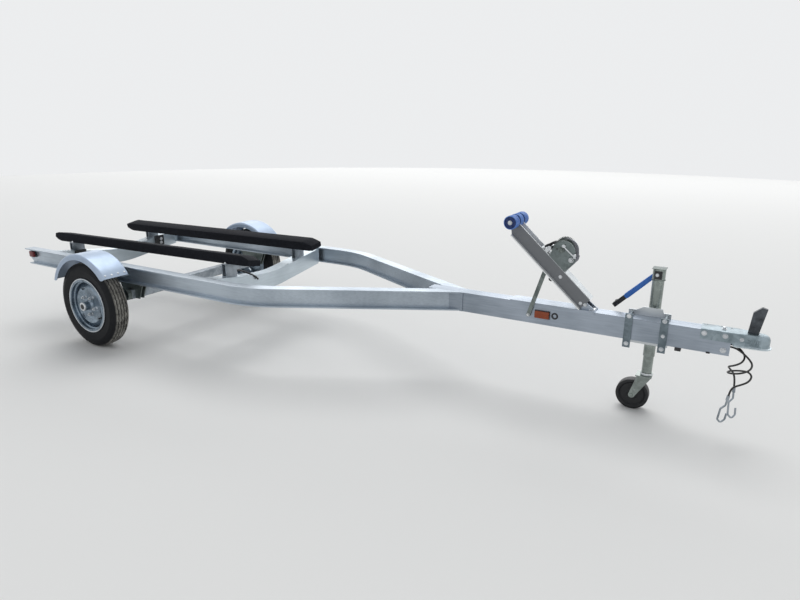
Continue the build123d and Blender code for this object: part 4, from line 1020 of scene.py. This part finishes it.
# Thin black discs on the coupler's top, painted shade where its holes are.
bm = bmesh.new()
for x, y in ((1.968, 0.031), (1.978, 0.031), (2.035, 0.030), (2.0736, 0.024)):
    spun(bm, [(0, 0.4931), (0.0042, 0.4931), (0.0042, 0.4936), (0, 0.4936)],
         facing(Vector((x, y, 0)), UP), 20)
piece = link_mesh("coupler_top_hole_shade", bm, black_paint)
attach(piece, "frame")

bm = bmesh.new()
for sign in (-1, 1):
    for k in range(FLUTES):
        x = FLUTE_FROM + k * FLUTE_GAP
        y = sign * (0.0418 - 0.061 * (x - 2.0845))
        add_cone(bm, Matrix.Translation((x, y, 0)), 0.447, 0.473, FLUTE_R, FLUTE_R, 12)
piece = link_mesh("coupler_flutes", bm, coupler_skin)
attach(piece, "frame")

# Coupler latch. A lever of dark painted steel that stands up out of the coupler's top, with its pivot
# and its safety pin showing as small heads on both sides.
LATCH_HALF = 0.0090
latch_paint = moulded("latch_paint", (0.035, 0.042, 0.052), (0.13, 0.15, 0.17), (0.35, 0.55), 28.0, 0.0004)
dress(latch_paint, "galvanised_steel", "coupler_latch")
bm = bmesh.new()
for x, z, size in ((2.1480, 0.5180, 0.0042), (2.1720, 0.5560, 0.0038)):
    add_bolt(bm, Vector((x, -LATCH_HALF, z)), RIGHT, size)
    add_bolt(bm, Vector((x, LATCH_HALF, z)), LEFT, size)
piece = link_mesh("latch_pins", bm, latch_paint)
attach(piece, "frame")

# Safety cables. Two lengths of 8 mm wire rope in black plastic sheath, fixed to the plate in the
# tongue's open end; the right one makes one slack loop and both hang down to their snap hooks.
TONGUE_END = 2.0785
CABLE_D = 0.008
CABLE_BLACK = (0.012, 0.012, 0.013, 1)
CABLE_WORN = (0.05, 0.048, 0.044, 1)
# millimetres ahead of the tongue's end, to its left and up from the ground
CABLE_ROUTES = {
    "right": dict(length=0.523, points=[
        (-4, -18, 424), (16, -18, 424), (44, -26, 412), (72, -42, 395), (92, -68, 378), (84, -98, 361),
        (54, -112, 347), (24, -102, 336), (4, -80, 329), (8, -52, 326), (32, -36, 328), (58, -38, 333),
        (82, -50, 337), (97, -74, 328), (86, -98, 310), (62, -102, 294), (40, -99, 280), (27, -93, 260),
        (24, -90, 232),
    ]),
    "left": dict(length=0.297, points=[
        (-4, 18, 424), (16, 18, 424), (44, 10, 408), (62, -10, 388), (54, -34, 368), (28, -42, 352),
        (6, -24, 338), (8, 4, 322), (29, 14, 299), (38, 4, 272), (40, -3, 241),
    ]),
}

sheath, sheath_tree, sheath_shader = new_material("cable_sheath")
sheath_shader.inputs["Roughness"].default_value = 0.38
sheath_place = add_node(sheath_tree, "ShaderNodeTexCoord")
sheath_noise = add_node(sheath_tree, "ShaderNodeTexNoise", Scale=90.0, Detail=3.0)
sheath_tone = add_node(sheath_tree, "ShaderNodeValToRGB")
sheath_tone.color_ramp.elements[0].color = CABLE_BLACK
sheath_tone.color_ramp.elements[1].color = CABLE_WORN
sheath_tone.color_ramp.elements[0].position = 0.45
sheath_tree.links.new(sheath_place.outputs["Object"], sheath_noise.inputs["Vector"])
sheath_tree.links.new(sheath_noise.outputs["Fac"], sheath_tone.inputs["Fac"])
sheath_tree.links.new(sheath_tone.outputs["Color"], sheath_shader.inputs["Base Color"])

for side, cable in CABLE_ROUTES.items():
    curve = bpy.data.curves.new("sheathed_cable_" + side, "CURVE")
    curve.dimensions = "3D"
    curve.bevel_depth = CABLE_D / 2
    curve.bevel_resolution = 4
    curve.use_fill_caps = True
    curve.materials.append(sheath)
    spline = curve.splines.new("NURBS")
    spline.points.add(len(cable["points"]) - 1)
    for point, (x, y, z) in zip(spline.points, cable["points"]):
        point.co = (TONGUE_END + x / 1000, y / 1000, z / 1000, 1)
    spline.order_u = 3
    spline.use_endpoint_u = True
    spline.resolution_u = 10
    piece = bpy.data.objects.new("sheathed_cable_" + side, curve)
    bpy.context.scene.collection.objects.link(piece)
    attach(piece, "frame")
    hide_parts("safety_cable_" + side)
    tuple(spline.points[0].co[:3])

# Jack. A galvanised cap plate and seam ring at the top of its square tube, the black plastic gear cover
# with its screw on the near side, and the bright collar where the leg's swivel meets the caster's fork.
JACK_X = 1.7515
JACK_Y = 0.092
JACK_CAP_HALF = 0.0300
JACK_COVER_HALF = 0.0165
jack_axis = facing(Vector((JACK_X, JACK_Y, 0)), UP)
bm = bmesh.new()
add_block(bm, (JACK_X - JACK_CAP_HALF, JACK_Y - JACK_CAP_HALF, 0.7040),
          (JACK_X + JACK_CAP_HALF, JACK_Y + JACK_CAP_HALF, 0.7064), 0.0008)
spun(bm, [(0, 0.6510), (JACK_CAP_HALF, 0.6510), (JACK_CAP_HALF, 0.6540), (0, 0.6540)], jack_axis, 48)
piece = link_mesh("jack_cap_plate", bm, zinc_dark)
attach(piece, "jack")

bm = bmesh.new()
add_block(bm, (JACK_X - JACK_COVER_HALF, JACK_Y - 0.0305, 0.6580),
          (JACK_X + JACK_COVER_HALF, JACK_Y - 0.0262, 0.6960), 0.0015)
piece = link_mesh("jack_gear_cover", bm, black_paint)
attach(piece, "jack")

bm = bmesh.new()
add_bolt(bm, Vector((1.7473, JACK_Y - 0.0305, 0.678)), RIGHT, 0.0055)
piece = link_mesh("jack_cover_screw", bm, zinc_bright)
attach(piece, "jack")

bm = bmesh.new()
spun(bm, [(0.0180, 0.1830), (0.0268, 0.1830), (0.0278, 0.1850), (0.0278, 0.1935), (0.0265, 0.1955),
          (0.0180, 0.1955)], jack_axis, 48)
piece = link_mesh("jack_swivel_collar", bm, zinc_bright)
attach(piece, "jack_leg")

# Jack crank. A flat black steel bar from the shaft's nut to the grip, with a tapered blue plastic
# sleeve over most of its length, and a turned black grip at its end.
CRANK_HUB = Vector((JACK_X, 0.1265, 0.685))
CRANK_TIP = Vector((1.5685, 0.1265, 0.497))
CRANK_LONG = (CRANK_TIP - CRANK_HUB).length
SLEEVE_FROM = -0.022
SLEEVE_TO = 0.77 * CRANK_LONG
SLEEVE_STEPS = 24
SLEEVE_ROUND = 0.45
# a placing at the hub with X down the bar and Y to the trailer's left
crank_along = (CRANK_TIP - CRANK_HUB).normalized()
crank_place = Matrix.Translation(CRANK_HUB) @ Matrix((
    (crank_along.x, 0, -crank_along.z, 0),
    (0, 1, 0, 0),
    (crank_along.z, 0, crank_along.x, 0),
    (0, 0, 0, 1),
))
bm = bmesh.new()
add_block(bm, (-0.016, -0.0025, -0.0110), (CRANK_LONG + 0.010, 0.0025, 0.0110), 0.0012, crank_place)
piece = link_mesh("jack_crank_bar", bm, black_paint)
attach(piece, "jack")
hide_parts("jack_crank")

crank_blue = moulded("crank_sleeve_blue", (0.025, 0.150, 0.56), (0.06, 0.24, 0.72), (0.34, 0.5), 24.0, 0.0005)
bm = bmesh.new()
rings = []
for k in range(SLEEVE_STEPS + 1):
    t = k / SLEEVE_STEPS
    at_end = k in (0, SLEEVE_STEPS)
    wide = 0.0105 + 0.0025 * t - 0.003 * at_end
    thick = 0.0075 - 0.0015 * t - 0.002 * at_end
    ring = []
    for j in range(24):
        a = math.tau * j / 24
        c, q = math.cos(a), math.sin(a)
        y = thick * math.copysign(abs(q) ** SLEEVE_ROUND, q)
        z = wide * math.copysign(abs(c) ** SLEEVE_ROUND, c)
        ring.append(bm.verts.new(crank_place @ Vector((SLEEVE_FROM + (SLEEVE_TO - SLEEVE_FROM) * t, y, z))))
    rings.append(ring)
add_skin(bm, rings)
piece = link_mesh("jack_crank_sleeve", bm, crank_blue)
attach(piece, "jack")
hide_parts("jack_crank")

bm = bmesh.new()
spun(bm, [(0, 0.0025), (0.0100, 0.0025), (0.0120, 0.0045), (0.0120, 0.0120), (0.0105, 0.0200),
          (0.0105, 0.0400), (0.0122, 0.0510), (0.0118, 0.0560), (0.0095, 0.0583), (0, 0.0590)],
     facing(CRANK_TIP, LEFT), 32)
piece = link_mesh("jack_crank_grip", bm, black_paint)
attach(piece, "jack")
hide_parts("jack_crank")

bm = bmesh.new()
add_bolt(bm, CRANK_HUB + Vector((0, 0.0075, 0)), LEFT, 0.0090)
piece = link_mesh("jack_crank_nut", bm, zinc_bright)
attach(piece, "jack")

# Caster wheel. Black plastic with a flat tread, dished sides and a raised hub, which turns on the bolt
# through the fork.
CASTER_AT = Vector((1.6995, 0.092, 0.076))
# radius, and how far out from the middle plane
CASTER_SIDE = [
    (0.0085, 0.0230), (0.0190, 0.0230), (0.0205, 0.0170), (0.0260, 0.0130), (0.0540, 0.0130),
    (0.0590, 0.0190), (0.0620, 0.0225), (0.0700, 0.0235), (0.0745, 0.0215), (0.0757, 0.0180),
    (0.0760, 0.0120),
]
caster_black = moulded(
    "caster_plastic", (0.005, 0.006, 0.008), (0.018, 0.019, 0.021), (0.4, 0.6), 30.0, 0.0006
)
bm = bmesh.new()
spun(bm, CASTER_SIDE + [(r, -y) for r, y in reversed(CASTER_SIDE)], facing(CASTER_AT, LEFT), 96)
piece = link_mesh("turned_caster_wheel", bm, caster_black)
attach(piece, "caster_wheel")
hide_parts("caster_wheel")

# Side markers. A black base screwed to the tongue's wall on each side, with a rounded amber plastic
# lens moulded over it that stands out from the wall.
MARKER_LOW = (1.2265, 0.4194)
MARKER_HIGH = (1.3025, 0.4594)
amber = moulded("amber_lens", (0.26, 0.040, 0.004), (0.34, 0.062, 0.006), (0.12, 0.25), 30.0, 0.0004)
# name, material, slot, out from and to, how far inside the base's edge, edge radius
MARKER_PARTS = [
    ("marker_base_", black_paint, "black_plastic", 0.0381, 0.0411, 0.0, 0.0008),
    ("marker_lens_", amber, "amber_lens", 0.0411, 0.0541, 0.002, 0.0050),
]


def lamp_parts(parts, low, high, side, sign):
    """A lamp's base and lens on one side of the trailer, as finished pieces with their slots."""
    for name, material, slot, out_from, out_to, inset, soft in parts:
        near, far = sorted((sign * out_from, sign * out_to))
        bm = bmesh.new()
        add_block(bm, (low[0] + inset, near, low[1] + inset), (high[0] - inset, far, high[1] - inset), soft)
        yield link_mesh(name + side, bm, material), slot


for side, sign in (("right", -1), ("left", 1)):
    for piece, slot in lamp_parts(MARKER_PARTS, MARKER_LOW, MARKER_HIGH, side, sign):
        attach(piece, "frame")
        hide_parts("amber_marker_" + side)

# Tail lights. A flat black base on each rail's web at the back, under the top flange, with a rounded
# red plastic lens moulded over it.
LIGHT_LOW = (-2.1990, 0.4304)
LIGHT_HIGH = (-2.1470, 0.4730)
red = moulded("red_lens", (0.16, 0.012, 0.014), (0.24, 0.026, 0.026), (0.12, 0.25), 30.0, 0.0004)
LIGHT_PARTS = [
    ("tail_light_base_", black_paint, "black_plastic", 0.5358, 0.5430, 0.0, 0.0020),
    ("tail_light_lens_", red, "red_lens", 0.5430, 0.5600, 0.001, 0.0055),
]
for side, sign in (("right", -1), ("left", 1)):
    for piece, slot in lamp_parts(LIGHT_PARTS, LIGHT_LOW, LIGHT_HIGH, side, sign):
        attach(piece, "frame")
        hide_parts("tail_light_" + side)

# Sizes. The dressed trailer's box, in metres.
low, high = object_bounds()
